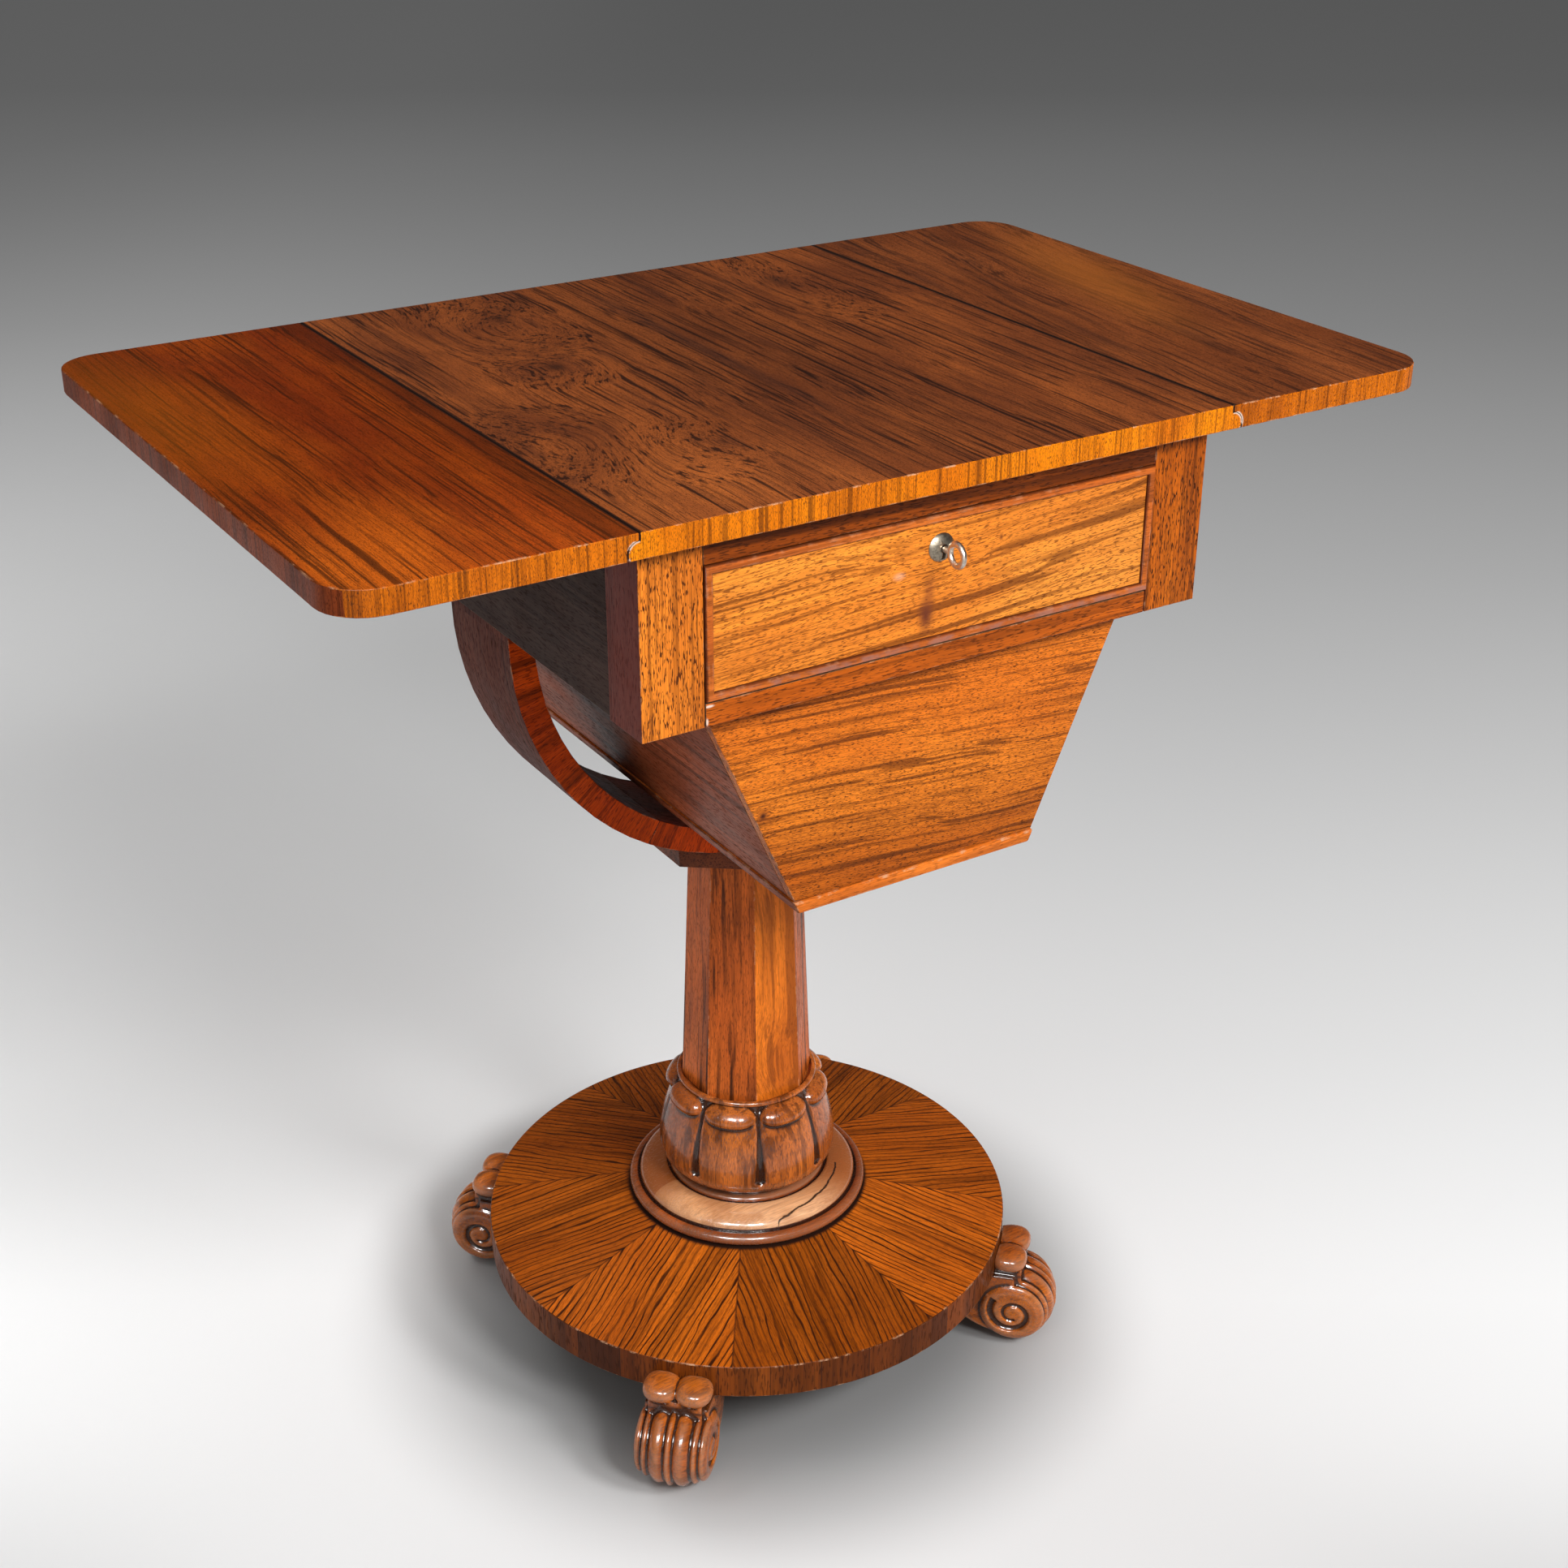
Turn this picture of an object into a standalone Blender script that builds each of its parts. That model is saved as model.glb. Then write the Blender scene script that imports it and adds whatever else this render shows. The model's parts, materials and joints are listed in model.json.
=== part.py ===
"""Drop-leaf work table on a pillar: two hinged leaves, a locking drawer and a sliding workbox.

The table faces -Y. X runs across it, from the left leaf to the right one, and Z is up.
The origin is on the floor, on the axis of the pillar. All sizes are in metres.
"""

import math

import bmesh
import bpy
from mathutils import Matrix, Vector

# Clearances
FIT = 0.0003            # between pieces that are fixed together
RUN = 0.0006            # between pieces that slide or turn on each other
WELD = 0.00001          # merges the points of one surface

# Top and leaves
TOP_HEIGHT = 0.719
TOP_THICK = 0.015
TOP_DEPTH = 0.454
LEAF_WIDTH = 0.1635
LEAF_CORNER = 0.028     # radius of the leaf's free corners
RULE_FILLET = 0.0045    # flat step above the rounded edge of the rule joint
RULE_RADIUS = 0.007     # rounded edge of the rule joint
RULE_GAP = 0.0004       # between the rounded edge and the leaf's hollow

# Table hinges, let into the undersides
HINGE_INSET = 0.092     # from an end of the top to the middle of a hinge
HINGE_SPACING = TOP_DEPTH - 2 * HINGE_INSET
HINGE_WIDTH = 0.036
HINGE_FIXED_REACH = 0.026
HINGE_LEAF_REACH = 0.038
HINGE_PLATE = 0.0015
HINGE_BARREL = 0.0030   # radius of the knuckles
HINGE_PIN = 0.0012      # radius of the pin
HINGE_RELIEF = 0.0042   # from the pin to the edge of a plate

# Case
CASE_WIDTH = 0.385
SIDE_OVERHANG = 0.0055  # of the centre board past the case's sides
CENTRE_WIDTH = CASE_WIDTH + 2 * SIDE_OVERHANG   # from one leaf joint to the other
END_OVERHANG = 0.0143   # of the top past the case's front and back
CASE_DEPTH = TOP_DEPTH - 2 * END_OVERHANG
CASE_HEIGHT = 0.1105
POST_WIDTH = 0.039
POST_DEPTH = 0.036
APRON_THICK = 0.020
APRON_SETBACK = 0.0025  # behind the outer faces of the posts
TOP_RAIL_HEIGHT = 0.017
RAIL_DEPTH = 0.0134     # of the rail below the drawer, front to back
BACK_THICK = 0.018

# Fly brackets that swing out under the leaves
FLY_LENGTH = 0.135      # from the pin to the tip
FLY_HEIGHT = 0.042
FLY_TIP_HEIGHT = 0.016
FLY_THICK = 0.0134
FLY_PIN_RADIUS = 0.0025
FLY_PIN_SEAT = 0.012    # depth of the pin in the apron
FLY_PIN_CROWN = 0.007   # depth of the pin in the top

# Side runners: the drawer slides on them, and the workbox hangs in their grooves
RUNNER_LEDGE = 0.0310   # breadth of the upper ledge under the drawer
RUNNER_LEDGE_THICK = 0.0056
RUNNER_LIP_THICK = 0.0035
RUNNER_WEB = 0.0052

# Drawer
DRAWER_HEIGHT = 0.0785
DRAWER_REST = 0.0054    # behind the shut drawer
DRAWER_LENGTH = CASE_DEPTH - BACK_THICK - DRAWER_REST
DRAWER_FRONT_THICK = 0.018
DRAWER_SIDE_THICK = 0.009
DRAWER_SIDE_HEIGHT = 0.069
DRAWER_BACK_THICK = 0.008
DRAWER_BOTTOM_THICK = 0.005
DRAWER_BOTTOM_RISE = 0.006
DRAWER_GROOVE = 0.004   # how far the bottom board goes into the sides and the front
BEAD_WIDTH = 0.0048
BEAD_PROUD = 0.0020
BEAD_SEAT = 0.0030

# Lock, key and escutcheon
LOCK_DROP = 0.0200      # key's axis below the drawer's top edge
LOCK_WIDTH = 0.050
LOCK_HEIGHT = 0.036
LOCK_THICK = 0.0085
LOCK_EDGE = 0.0030      # wood left above the lock's case
LOCK_POCKET = 0.0078    # radius of the hollow that the key's bit turns in
LOCK_POCKET_DEPTH = 0.0050
BOLT_WIDTH = 0.018
BOLT_THICK = 0.0045
BOLT_LENGTH = 0.0085
BOLT_THROW = 0.0070
ESCUTCHEON_RADIUS = 0.0086
ESCUTCHEON_DOME = 0.0032
KEY_SHANK = 0.0020
KEY_BOW_HEIGHT = 0.0068  # half height of the bow, to the middle of its wire
KEY_BOW_WIRE = 0.0014
KEY_REACH = 0.0232      # from the drawer's face to the end of the bow
KEY_BIT_DROP = 0.0060
KEY_BIT_THICK = 0.0018
KEY_BIT_LENGTH = 0.0040

# Workbox
WORKBOX_HEIGHT = 0.1520
WORKBOX_TAPER = 0.0664  # how far each side comes in, from top to bottom
WORKBOX_PANEL_THICK = 0.008
WORKBOX_SIDE_THICK = 0.007
WORKBOX_BOTTOM_THICK = 0.0078
WORKBOX_BOTTOM_LIP = 0.0015
WORKBOX_TONGUE_THICK = 0.0047
WORKBOX_TOP_DROP = 0.0053  # from the top of its rail to the top of its walls
WORKBOX_MARGIN = 0.0038    # between the walls' top edge and the posts

# Yoke that carries the case
YOKE_DEPTH = 0.080
YOKE_THICK = 0.017
YOKE_SETBACK = 0.003    # behind the outer face of the apron
YOKE_SHOULDER = 0.007   # straight run below the apron
YOKE_TENON_HEIGHT = 0.034
YOKE_TENON_THICK = 0.009
YOKE_SPLICE = math.radians(31)   # joints of the seat and the arms, from straight down

# Pillar
CAPITAL_WIDTH = 0.125   # across its flats, along the yoke
CAPITAL_DEPTH = 0.093
CAPITAL_HEIGHT = 0.0095  # below the lowest point of the yoke
CAPITAL_SIDE = 0.0060   # upright part of its sides
COLUMN_TOP_RADIUS = 0.0390
COLUMN_FOOT_RADIUS = 0.0466
COLUMN_SIDES = 8
TENON_RADIUS = 0.016
TENON_TOP = 0.007
TENON_FOOT = 0.028      # depth of the pillar's tenon in the plinth

# Carved collar
COLLAR_HEIGHT = 0.0770
COLLAR_BULGE_RADIUS = 0.0635
COLLAR_FOOT_RADIUS = 0.0545
COLLAR_NECK_RADIUS = 0.0486
COLLAR_RING_RADIUS = 0.0500
COLLAR_RING_HEIGHT = 0.0040
COLLAR_SEAT = 0.0035    # depth of the hollow that the column stands in
COLLAR_BULGE_AT = 0.21  # share of the height where the collar is widest
LOBE_RISE = 0.0066
LOBE_HEIGHT = 0.0165
LOBE_DROP = 0.0112      # middle of the lobes below the collar's top
LOBE_HALF_ANGLE = math.radians(20.5)
DART_DEPTH = 0.0030
DART_WIDTH = 0.0085
DART_FOOT = 0.0150      # lower end of the darts above the collar's foot
COLLAR_STEPS = 64

# Socle and plinth
SOCLE_HEIGHT = 0.0206
SOCLE_RADIUS = 0.0862
SOCLE_RING = 0.0042     # radius of the half-round ring at its foot
SOCLE_DISH_RADIUS = 0.0785
SOCLE_DISH_RISE = 0.0088
SOCLE_TOP_RADIUS = 0.0600
SOCLE_QUIRK = 0.0018    # depth of the groove round the collar's foot
PLINTH_RADIUS = 0.1896
PLINTH_THICK = 0.0257   # at its edge
PLINTH_RISE = 0.0180    # from the edge up to the socle
PLINTH_ARRIS = 0.0012

# Scroll feet
FOOT_HEIGHT = 0.0592    # clear height below the plinth
FOOT_SCROLL_RADIUS = 0.0297
FOOT_SCROLL_OUT = 0.0139   # middle of the scroll beyond the plinth's edge
FOOT_WIDTH = 0.051
FOOT_BARREL_DROP = 0.0080  # the scroll is this much slimmer at its ends
FOOT_PAD = 0.0005          # the flat that it stands on is cut this deep
SCROLL_STEPS = 18
REED_DEPTH = 0.0020
REED_CENTRE = 0.0054
REED_WIDE = 0.0122
REED_NARROW = 0.0050
VOLUTE_RADIUS = 0.0178
VOLUTE_EYE = 0.0050        # radius where the spiral ends
VOLUTE_GROOVE = 0.0015
VOLUTE_START = math.radians(140)
VOLUTE_TURNS = 1.12
BUN_LENGTH = 0.0140
BUN_WIDTH = 0.0113
BUN_HEIGHT = 0.0093
BUN_DROP = 0.0012          # below the middle of the plinth's edge
BUN_OUT = 0.0084
BUN_SQUARE = 2.6           # 2 is an egg, more is a cushion
FOOT_NECK_OUT = 0.0185
FOOT_NECK_WIDTH = 0.037
FOOT_TAIL_LENGTH = 0.046
FOOT_TAIL_WIDTH = 0.044
FOOT_TAIL_TIP = 0.020
FOOT_COUNT = 4

# Places that follow from the sizes above
under_top = TOP_HEIGHT - TOP_THICK
half_depth = TOP_DEPTH / 2
joint_x = CENTRE_WIDTH / 2
leaf_x = joint_x + LEAF_WIDTH
hinge_z = TOP_HEIGHT - RULE_FILLET - RULE_RADIUS

case_x = CASE_WIDTH / 2
case_y = CASE_DEPTH / 2
case_floor = under_top - CASE_HEIGHT
opening_x = case_x - POST_WIDTH
post_y = case_y - POST_DEPTH
apron_x = case_x - APRON_SETBACK
apron_in = apron_x - APRON_THICK

drawer_top = under_top - TOP_RAIL_HEIGHT
drawer_floor = drawer_top - DRAWER_HEIGHT
drawer_face = -case_y
rail_top = drawer_floor - 2 * RUN

yoke_radius = apron_x - YOKE_SETBACK
yoke_inner = yoke_radius - YOKE_THICK
yoke_z = case_floor - YOKE_SHOULDER
yoke_bottom = yoke_z - yoke_radius

rim_top = FOOT_HEIGHT + PLINTH_THICK
plinth_top = rim_top + PLINTH_RISE
socle_top = plinth_top + SOCLE_HEIGHT
collar_top = socle_top + COLLAR_HEIGHT
capital_foot = yoke_bottom - CAPITAL_HEIGHT

box_top = rail_top - WORKBOX_TOP_DROP
box_floor = box_top - WORKBOX_HEIGHT
box_top_x = opening_x - WORKBOX_MARGIN
box_face = drawer_face + RAIL_DEPTH + FIT

parts = bpy.data.collections.new("drop_leaf_work_table")
cutters = bpy.data.collections.new("cutters")


def clear_scene():
    for old in list(bpy.data.objects):
        bpy.data.objects.remove(old, do_unlink=True)
    for collection in (parts, cutters):
        bpy.context.scene.collection.children.link(collection)


def finish(name, colour, roughness, metallic=0.0):
    material = bpy.data.materials.new(name)
    material.use_nodes = True
    shader = material.node_tree.nodes["Principled BSDF"]
    shader.inputs["Base Color"].default_value = (*colour, 1.0)
    shader.inputs["Roughness"].default_value = roughness
    shader.inputs["Metallic"].default_value = metallic
    return material


rosewood_face = finish("rosewood_face", (0.40, 0.15, 0.035), 0.30)
rosewood_side = finish("rosewood_side", (0.13, 0.045, 0.028), 0.34)
rosewood_top = finish("rosewood_top", (0.21, 0.070, 0.022), 0.26)
rosewood_carved = finish("rosewood_carved", (0.27, 0.085, 0.025), 0.24)
lining_wood = finish("lining_wood", (0.36, 0.19, 0.085), 0.60)
bearer_wood = finish("bearer_wood", (0.25, 0.13, 0.065), 0.65)
brass = finish("brass", (0.62, 0.46, 0.20), 0.35, 1.0)
steel = finish("steel", (0.55, 0.52, 0.48), 0.32, 1.0)


def pivot_at(name, place):
    """An empty on a joint's axis, for the pieces that move with it."""
    empty = bpy.data.objects.new(name, None)
    empty.location = place
    empty.empty_display_size = 0.03
    parts.objects.link(empty)
    return empty


def add_object(name, shape, collection, pivot):
    mesh = bpy.data.meshes.new(name)
    if pivot:
        bmesh.ops.translate(shape, verts=shape.verts, vec=-pivot.location)
    shape.to_mesh(mesh)
    shape.free()
    item = bpy.data.objects.new(name, mesh)
    item.parent = pivot
    collection.objects.link(item)
    return item


def add_piece(name, shape, material, pivot=None, smooth=None):
    """One named piece. A round piece is shaded smooth up to the given angle."""
    item = add_object(name, shape, parts, pivot)
    item.data.materials.append(material)
    if smooth:
        item.data.shade_smooth()
        item.data.set_sharp_from_angle(angle=math.radians(smooth))
    return item


def add_cutter(name, shape, pivot=None):
    item = add_object(name, shape, cutters, pivot)
    item.hide_render = True
    item.display_type = "WIRE"
    return item


def boolean(piece, operation, tool):
    change = piece.modifiers.new(operation.lower(), "BOOLEAN")
    change.operation = operation
    change.object = tool


def cut(piece, *shapes, pivot=None):
    boolean(piece, "DIFFERENCE", add_cutter(piece.name + "_cut", joined(*shapes), pivot))


def unite(piece, *shapes, pivot=None):
    for number, shape in enumerate(shapes, start=1):
        tool = add_cutter(f"{piece.name}_join_{number}", shape, pivot)
        boolean(piece, "UNION", tool)


def joined(*shapes):
    whole = bmesh.new()
    for shape in shapes:
        mesh = bpy.data.meshes.new("joined")
        shape.to_mesh(mesh)
        shape.free()
        whole.from_mesh(mesh)
        bpy.data.meshes.remove(mesh)
    return whole


def evaluated(item):
    """The shape of an object with its modifiers or curve worked out. The object is removed."""
    bpy.context.view_layer.update()
    seen = item.evaluated_get(bpy.context.evaluated_depsgraph_get())
    mesh = bpy.data.meshes.new_from_object(seen)
    shape = bmesh.new()
    shape.from_mesh(mesh)
    bpy.data.meshes.remove(mesh)
    bmesh.ops.transform(shape, matrix=item.matrix_world, verts=shape.verts)
    bmesh.ops.remove_doubles(shape, verts=shape.verts, dist=WELD)
    bmesh.ops.recalc_face_normals(shape, faces=shape.faces)
    bpy.data.objects.remove(item, do_unlink=True)
    return shape


def block(low, high):
    low, high = Vector(low), Vector(high)
    shape = bmesh.new()
    bmesh.ops.create_cube(shape, size=1.0)
    bmesh.ops.scale(shape, verts=shape.verts, vec=high - low)
    bmesh.ops.translate(shape, verts=shape.verts, vec=(low + high) / 2)
    return shape


def rod(radius, start, end, sides=16):
    start, end = Vector(start), Vector(end)
    line = end - start
    shape = bmesh.new()
    bmesh.ops.create_cone(
        shape, cap_ends=True, segments=sides, radius1=radius, radius2=radius, depth=line.length
    )
    turn = Vector((0, 0, 1)).rotation_difference(line).to_matrix().to_4x4()
    bmesh.ops.transform(
        shape, matrix=Matrix.Translation((start + end) / 2) @ turn, verts=shape.verts
    )
    return shape


def outline_solid(points, thick):
    """A flat outline in the XY plane, given thickness on both sides of it."""
    curve = bpy.data.curves.new("outline", "CURVE")
    curve.dimensions = "2D"
    curve.fill_mode = "BOTH"
    curve.extrude = thick / 2
    line = curve.splines.new("POLY")
    line.points.add(len(points) - 1)
    for point, (x, y) in zip(line.points, points):
        point.co = (x, y, 0, 1)
    line.use_cyclic_u = True
    item = bpy.data.objects.new("outline", curve)
    cutters.objects.link(item)
    shape = evaluated(item)
    bpy.data.curves.remove(curve)
    return shape


def section(points, y_low, y_high):
    """A section in X and Z, drawn out along Y."""
    shape = outline_solid(points, y_high - y_low)
    place = Matrix.Translation((0, (y_low + y_high) / 2, 0)) @ Matrix.Rotation(math.pi / 2, 4, "X")
    bmesh.ops.transform(shape, matrix=place, verts=shape.verts)
    return shape


def turned(profile, steps, closed=False):
    """A profile of (radius, height) points, down its outer side, turned about Z."""
    shape = bmesh.new()
    points = [shape.verts.new((radius, 0, height)) for radius, height in profile]
    ends = points[1:] + points[:1] if closed else points[1:]
    for first, second in zip(points, ends):
        shape.edges.new((first, second))
    item = add_object("turned", shape, cutters, None)
    lathe = item.modifiers.new("lathe", "SCREW")
    lathe.steps = steps
    lathe.render_steps = steps
    lathe.use_merge_vertices = True
    lathe.merge_threshold = WELD
    return evaluated(item)


def mirrored(shape, side):
    """The shape as it is on the right, or turned over to the left."""
    if side < 0:
        bmesh.ops.scale(shape, verts=shape.verts, vec=(-1, 1, 1))
        bmesh.ops.reverse_faces(shape, faces=shape.faces)
    return shape


def arc(centre, radius, start, end, steps):
    turn = (end - start) / steps
    return [
        (
            centre[0] + radius * math.cos(start + turn * step),
            centre[1] + radius * math.sin(start + turn * step),
        )
        for step in range(steps + 1)
    ]


SIDES = (("left", -1), ("right", 1))


def make_top():
    """The fixed board, with the rounded half of a rule joint along each side."""
    under_turn = -math.asin((hinge_z - under_top) / RULE_RADIUS)
    edge = [(joint_x, TOP_HEIGHT)]
    edge += arc((joint_x, hinge_z), RULE_RADIUS, math.pi / 2, under_turn, 9)
    mirror_edge = [(-x, z) for x, z in reversed(edge)]
    top = add_piece(
        "top_panel", section(edge + mirror_edge, -half_depth, half_depth), rosewood_top
    )
    shapes = []
    for _, side in SIDES:
        for y in hinge_places():
            shapes.append(hinge_notch(side, y))
            shapes.append(hinge_recess(side, y, -HINGE_FIXED_REACH, 0))
        x, y = fly_pin_place(side)
        shapes.append(
            rod(
                FLY_PIN_RADIUS + FIT,
                (x, y, under_top - FIT),
                (x, y, under_top + FLY_PIN_CROWN + FIT),
                12,
            )
        )
    for shape in shapes:
        cut_once(top, shape)


def cut_once(piece, shape, pivot=None):
    """One more cut, for cuts that overlap each other."""
    number = len(piece.modifiers) + 1
    boolean(piece, "DIFFERENCE", add_cutter(f"{piece.name}_cut_{number}", shape, pivot))


def make_leaf(name, side, pivot):
    """A leaf, with the hollow half of the rule joint and two rounded corners."""
    hollow = RULE_RADIUS + RULE_GAP
    edge = [(leaf_x, TOP_HEIGHT), (leaf_x, under_top), (joint_x + hollow, under_top)]
    edge += arc((joint_x, hinge_z), hollow, 0, math.acos(RULE_GAP / hollow), 8)
    edge += [(joint_x + RULE_GAP, TOP_HEIGHT)]
    shape = section(edge, -half_depth, half_depth)
    corners = [
        line
        for line in shape.edges
        if all(abs(end.co.x - leaf_x) < WELD for end in line.verts)
        and abs(line.verts[0].co.y - line.verts[1].co.y) < WELD
        and abs(abs(line.verts[0].co.y) - half_depth) < WELD
    ]
    bmesh.ops.bevel(
        shape, geom=corners, offset=LEAF_CORNER, segments=8, profile=0.5, affect="EDGES"
    )
    leaf = add_piece(name, mirrored(shape, side), rosewood_top, pivot)
    recesses = [hinge_recess(side, y, 0, HINGE_LEAF_REACH) for y in hinge_places()]
    cut(leaf, *recesses, pivot=pivot)


def hinge_places():
    return (-HINGE_SPACING / 2, HINGE_SPACING / 2)


def hinge_recess(side, y, inner, outer):
    """The shallow bed of a hinge plate in an underside, from inner to outer past the pin."""
    half = HINGE_WIDTH / 2 + FIT
    low = (joint_x + inner - FIT, y - half, under_top - FIT)
    high = (joint_x + outer + FIT, y + half, under_top + HINGE_PLATE + FIT)
    return mirrored(block(low, high), side)


def hinge_notch(side, y):
    """The slot in the rounded edge that the knuckles and the moving plate turn in."""
    half = HINGE_WIDTH / 2 + FIT
    reach = HINGE_BARREL + FIT
    low = (joint_x - HINGE_RELIEF - FIT, y - half, under_top - FIT)
    high = (joint_x + RULE_RADIUS + FIT, y + half, hinge_z + reach)
    return mirrored(block(low, high), side)


def make_hinge(name, side, y, leaf_pivot):
    """A butt hinge: two plates with knuckles, and the pin that they turn on."""
    third = HINGE_WIDTH / 3
    bore = HINGE_PIN + FIT
    top_z = under_top + HINGE_PLATE
    half = HINGE_WIDTH / 2

    def knuckle(low_y, high_y):
        return rod(HINGE_BARREL, (joint_x, y + low_y, hinge_z), (joint_x, y + high_y, hinge_z), 10)

    def strap(low_y, high_y, way):
        near, far = sorted((joint_x, joint_x + way * (HINGE_RELIEF + FIT)))
        web_top = hinge_z - HINGE_PIN - FIT
        return block((near, y + low_y, under_top), (far, y + high_y, web_top))

    def hole():
        return rod(bore, (joint_x, y - half - RUN, hinge_z), (joint_x, y + half + RUN, hinge_z), 10)

    fixed = block(
        (joint_x - HINGE_FIXED_REACH, y - half, under_top), (joint_x - HINGE_RELIEF, y + half, top_z)
    )
    plate = add_piece(f"{name}_fixed_plate", mirrored(fixed, side), brass)
    outer_ends = ((-half, -third / 2), (third / 2, half))
    for low_y, high_y in outer_ends:
        unite_next(plate, mirrored(strap(low_y, high_y, -1), side))
        unite_next(plate, mirrored(knuckle(low_y, high_y), side))
    cut_once(plate, mirrored(hole(), side))

    moving = block(
        (joint_x + HINGE_RELIEF, y - half, under_top), (joint_x + HINGE_LEAF_REACH, y + half, top_z)
    )
    flap = add_piece(f"{name}_leaf_plate", mirrored(moving, side), brass, leaf_pivot)
    low_y, high_y = -third / 2 + RUN, third / 2 - RUN
    unite_next(flap, mirrored(strap(low_y, high_y, 1), side), leaf_pivot)
    unite_next(flap, mirrored(knuckle(low_y, high_y), side), leaf_pivot)
    cut_once(flap, mirrored(hole(), side), leaf_pivot)

    pin = rod(HINGE_PIN, (joint_x, y - half, hinge_z), (joint_x, y + half, hinge_z), 10)
    add_piece(f"{name}_pin", mirrored(pin, side), steel, smooth=40)


def unite_next(piece, shape, pivot=None):
    number = len(piece.modifiers) + 1
    boolean(piece, "UNION", add_cutter(f"{piece.name}_join_{number}", shape, pivot))


def fly_pin_place(side):
    return side * (apron_x - FIT - FLY_THICK / 2), 0.0


def make_fly_bracket(name, side):
    """A hinged bracket in the apron, with a slanted underside and a rounded hinge end."""
    x, y = fly_pin_place(side)
    half = FLY_THICK / 2
    top_z = under_top - FIT
    floor_z = top_z - FLY_HEIGHT
    pivot = pivot_at(name + "_pivot", (x, y, floor_z))
    tip_y = y + FLY_LENGTH
    profile = [(y, top_z), (tip_y, top_z), (tip_y, top_z - FLY_TIP_HEIGHT)]
    rise = FLY_HEIGHT - FLY_TIP_HEIGHT
    run = FLY_LENGTH * 0.62
    swell = 8
    for step in range(1, swell + 1):
        share = step / swell
        profile.append((
            tip_y - run * share,
            top_z - FLY_TIP_HEIGHT - rise * (1 - math.cos(math.pi * share)) / 2,
        ))
    profile.append((y, floor_z))
    shape = outline_solid(profile, FLY_THICK)
    stand = Matrix.Translation((x, 0, 0)) @ Matrix.Rotation(math.pi / 2, 4, "Z")
    stand = stand @ Matrix.Rotation(math.pi / 2, 4, "X")
    bmesh.ops.transform(shape, matrix=stand, verts=shape.verts)
    bracket = add_piece(name, shape, rosewood_side, pivot)
    unite_next(bracket, rod(half, (x, y, floor_z), (x, y, top_z), 20), pivot)
    bore = rod(FLY_PIN_RADIUS + FIT, (x, y, floor_z - RUN), (x, y, top_z + RUN), 12)
    cut_once(bracket, bore, pivot)
    pin = rod(
        FLY_PIN_RADIUS,
        (x, y, floor_z - FIT - FLY_PIN_SEAT),
        (x, y, under_top + FLY_PIN_CROWN),
        12,
    )
    add_piece(name + "_pin", pin, steel, smooth=40)


def fly_recess(side):
    """The hollow of a folded bracket in the apron, and the hole of its pin."""
    x, y = fly_pin_place(1)
    half = FLY_THICK / 2
    floor_z = under_top - 2 * FIT - FLY_HEIGHT
    beyond = apron_x + APRON_SETBACK
    bed = block(
        (x - half - FIT, y, floor_z), (beyond, y + FLY_LENGTH + RUN, under_top)
    )
    round_end = rod(half + FIT, (x, y, floor_z), (x, y, under_top), 20)
    mouth = block((x, y - half - FIT, floor_z), (beyond, y, under_top))
    hole = rod(FLY_PIN_RADIUS + FIT, (x, y, floor_z - FLY_PIN_SEAT - FIT), (x, y, floor_z + FIT), 12)
    return [mirrored(shape, side) for shape in (bed, round_end, mouth, hole)]


def make_case():
    for row, way in (("front", -1), ("back", 1)):
        for name, side in SIDES:
            xs = sorted((side * opening_x, side * case_x))
            ys = sorted((way * post_y, way * case_y))
            post = block((xs[0], ys[0], case_floor), (xs[1], ys[1], under_top - FIT))
            add_piece(f"{row}_{name}_post", post, rosewood_face)
    for name, side in SIDES:
        make_apron(name + "_apron", side)
        make_runner(name + "_drawer_runner", side)
    rail = block(
        (-opening_x + FIT, -case_y, drawer_top), (opening_x - FIT, -post_y, under_top - FIT)
    )
    rail = add_piece("front_top_rail", rail, rosewood_face)
    half = BOLT_WIDTH / 2 + RUN
    bolt_notch = block(
        (-half, bolt_y() - BOLT_THICK / 2 - RUN, drawer_top - FIT),
        (half, RUN - post_y, drawer_top + BOLT_THROW + RUN),
    )
    cut(rail, bolt_notch)
    make_back()


def make_apron(name, side):
    shape = block(
        (apron_in, -post_y + FIT, case_floor), (apron_x, post_y - FIT, under_top - FIT)
    )
    apron = add_piece(name, mirrored(shape, side), rosewood_side)
    middle = apron_in + YOKE_THICK / 2
    half = YOKE_TENON_THICK / 2 + FIT
    mortise = block(
        (middle - half, -YOKE_DEPTH / 2 - FIT, case_floor - FIT),
        (middle + half, YOKE_DEPTH / 2 + FIT, case_floor + YOKE_TENON_HEIGHT + FIT),
    )
    cut_once(apron, mirrored(mortise, side))
    for recess in fly_recess(side):
        cut_once(apron, recess)


def make_runner(name, side):
    """A bearer with a ledge for the drawer and a groove for the workbox's tongue."""
    outer = apron_in - FIT
    top_z = drawer_floor - FIT
    ledge_z = top_z - RUNNER_LEDGE_THICK
    lip_z = case_floor + RUNNER_LIP_THICK
    lip_x = box_x(lip_z) + 2 * RUN
    profile = [
        (outer, top_z),
        (outer, case_floor),
        (lip_x, case_floor),
        (lip_x, lip_z),
        (outer - RUNNER_WEB, lip_z),
        (outer - RUNNER_WEB, ledge_z),
        (outer - RUNNER_LEDGE, ledge_z),
        (outer - RUNNER_LEDGE, top_z),
    ]
    shape = section(profile, -post_y + FIT, post_y - FIT)
    add_piece(name, mirrored(shape, side), bearer_wood)


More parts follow.
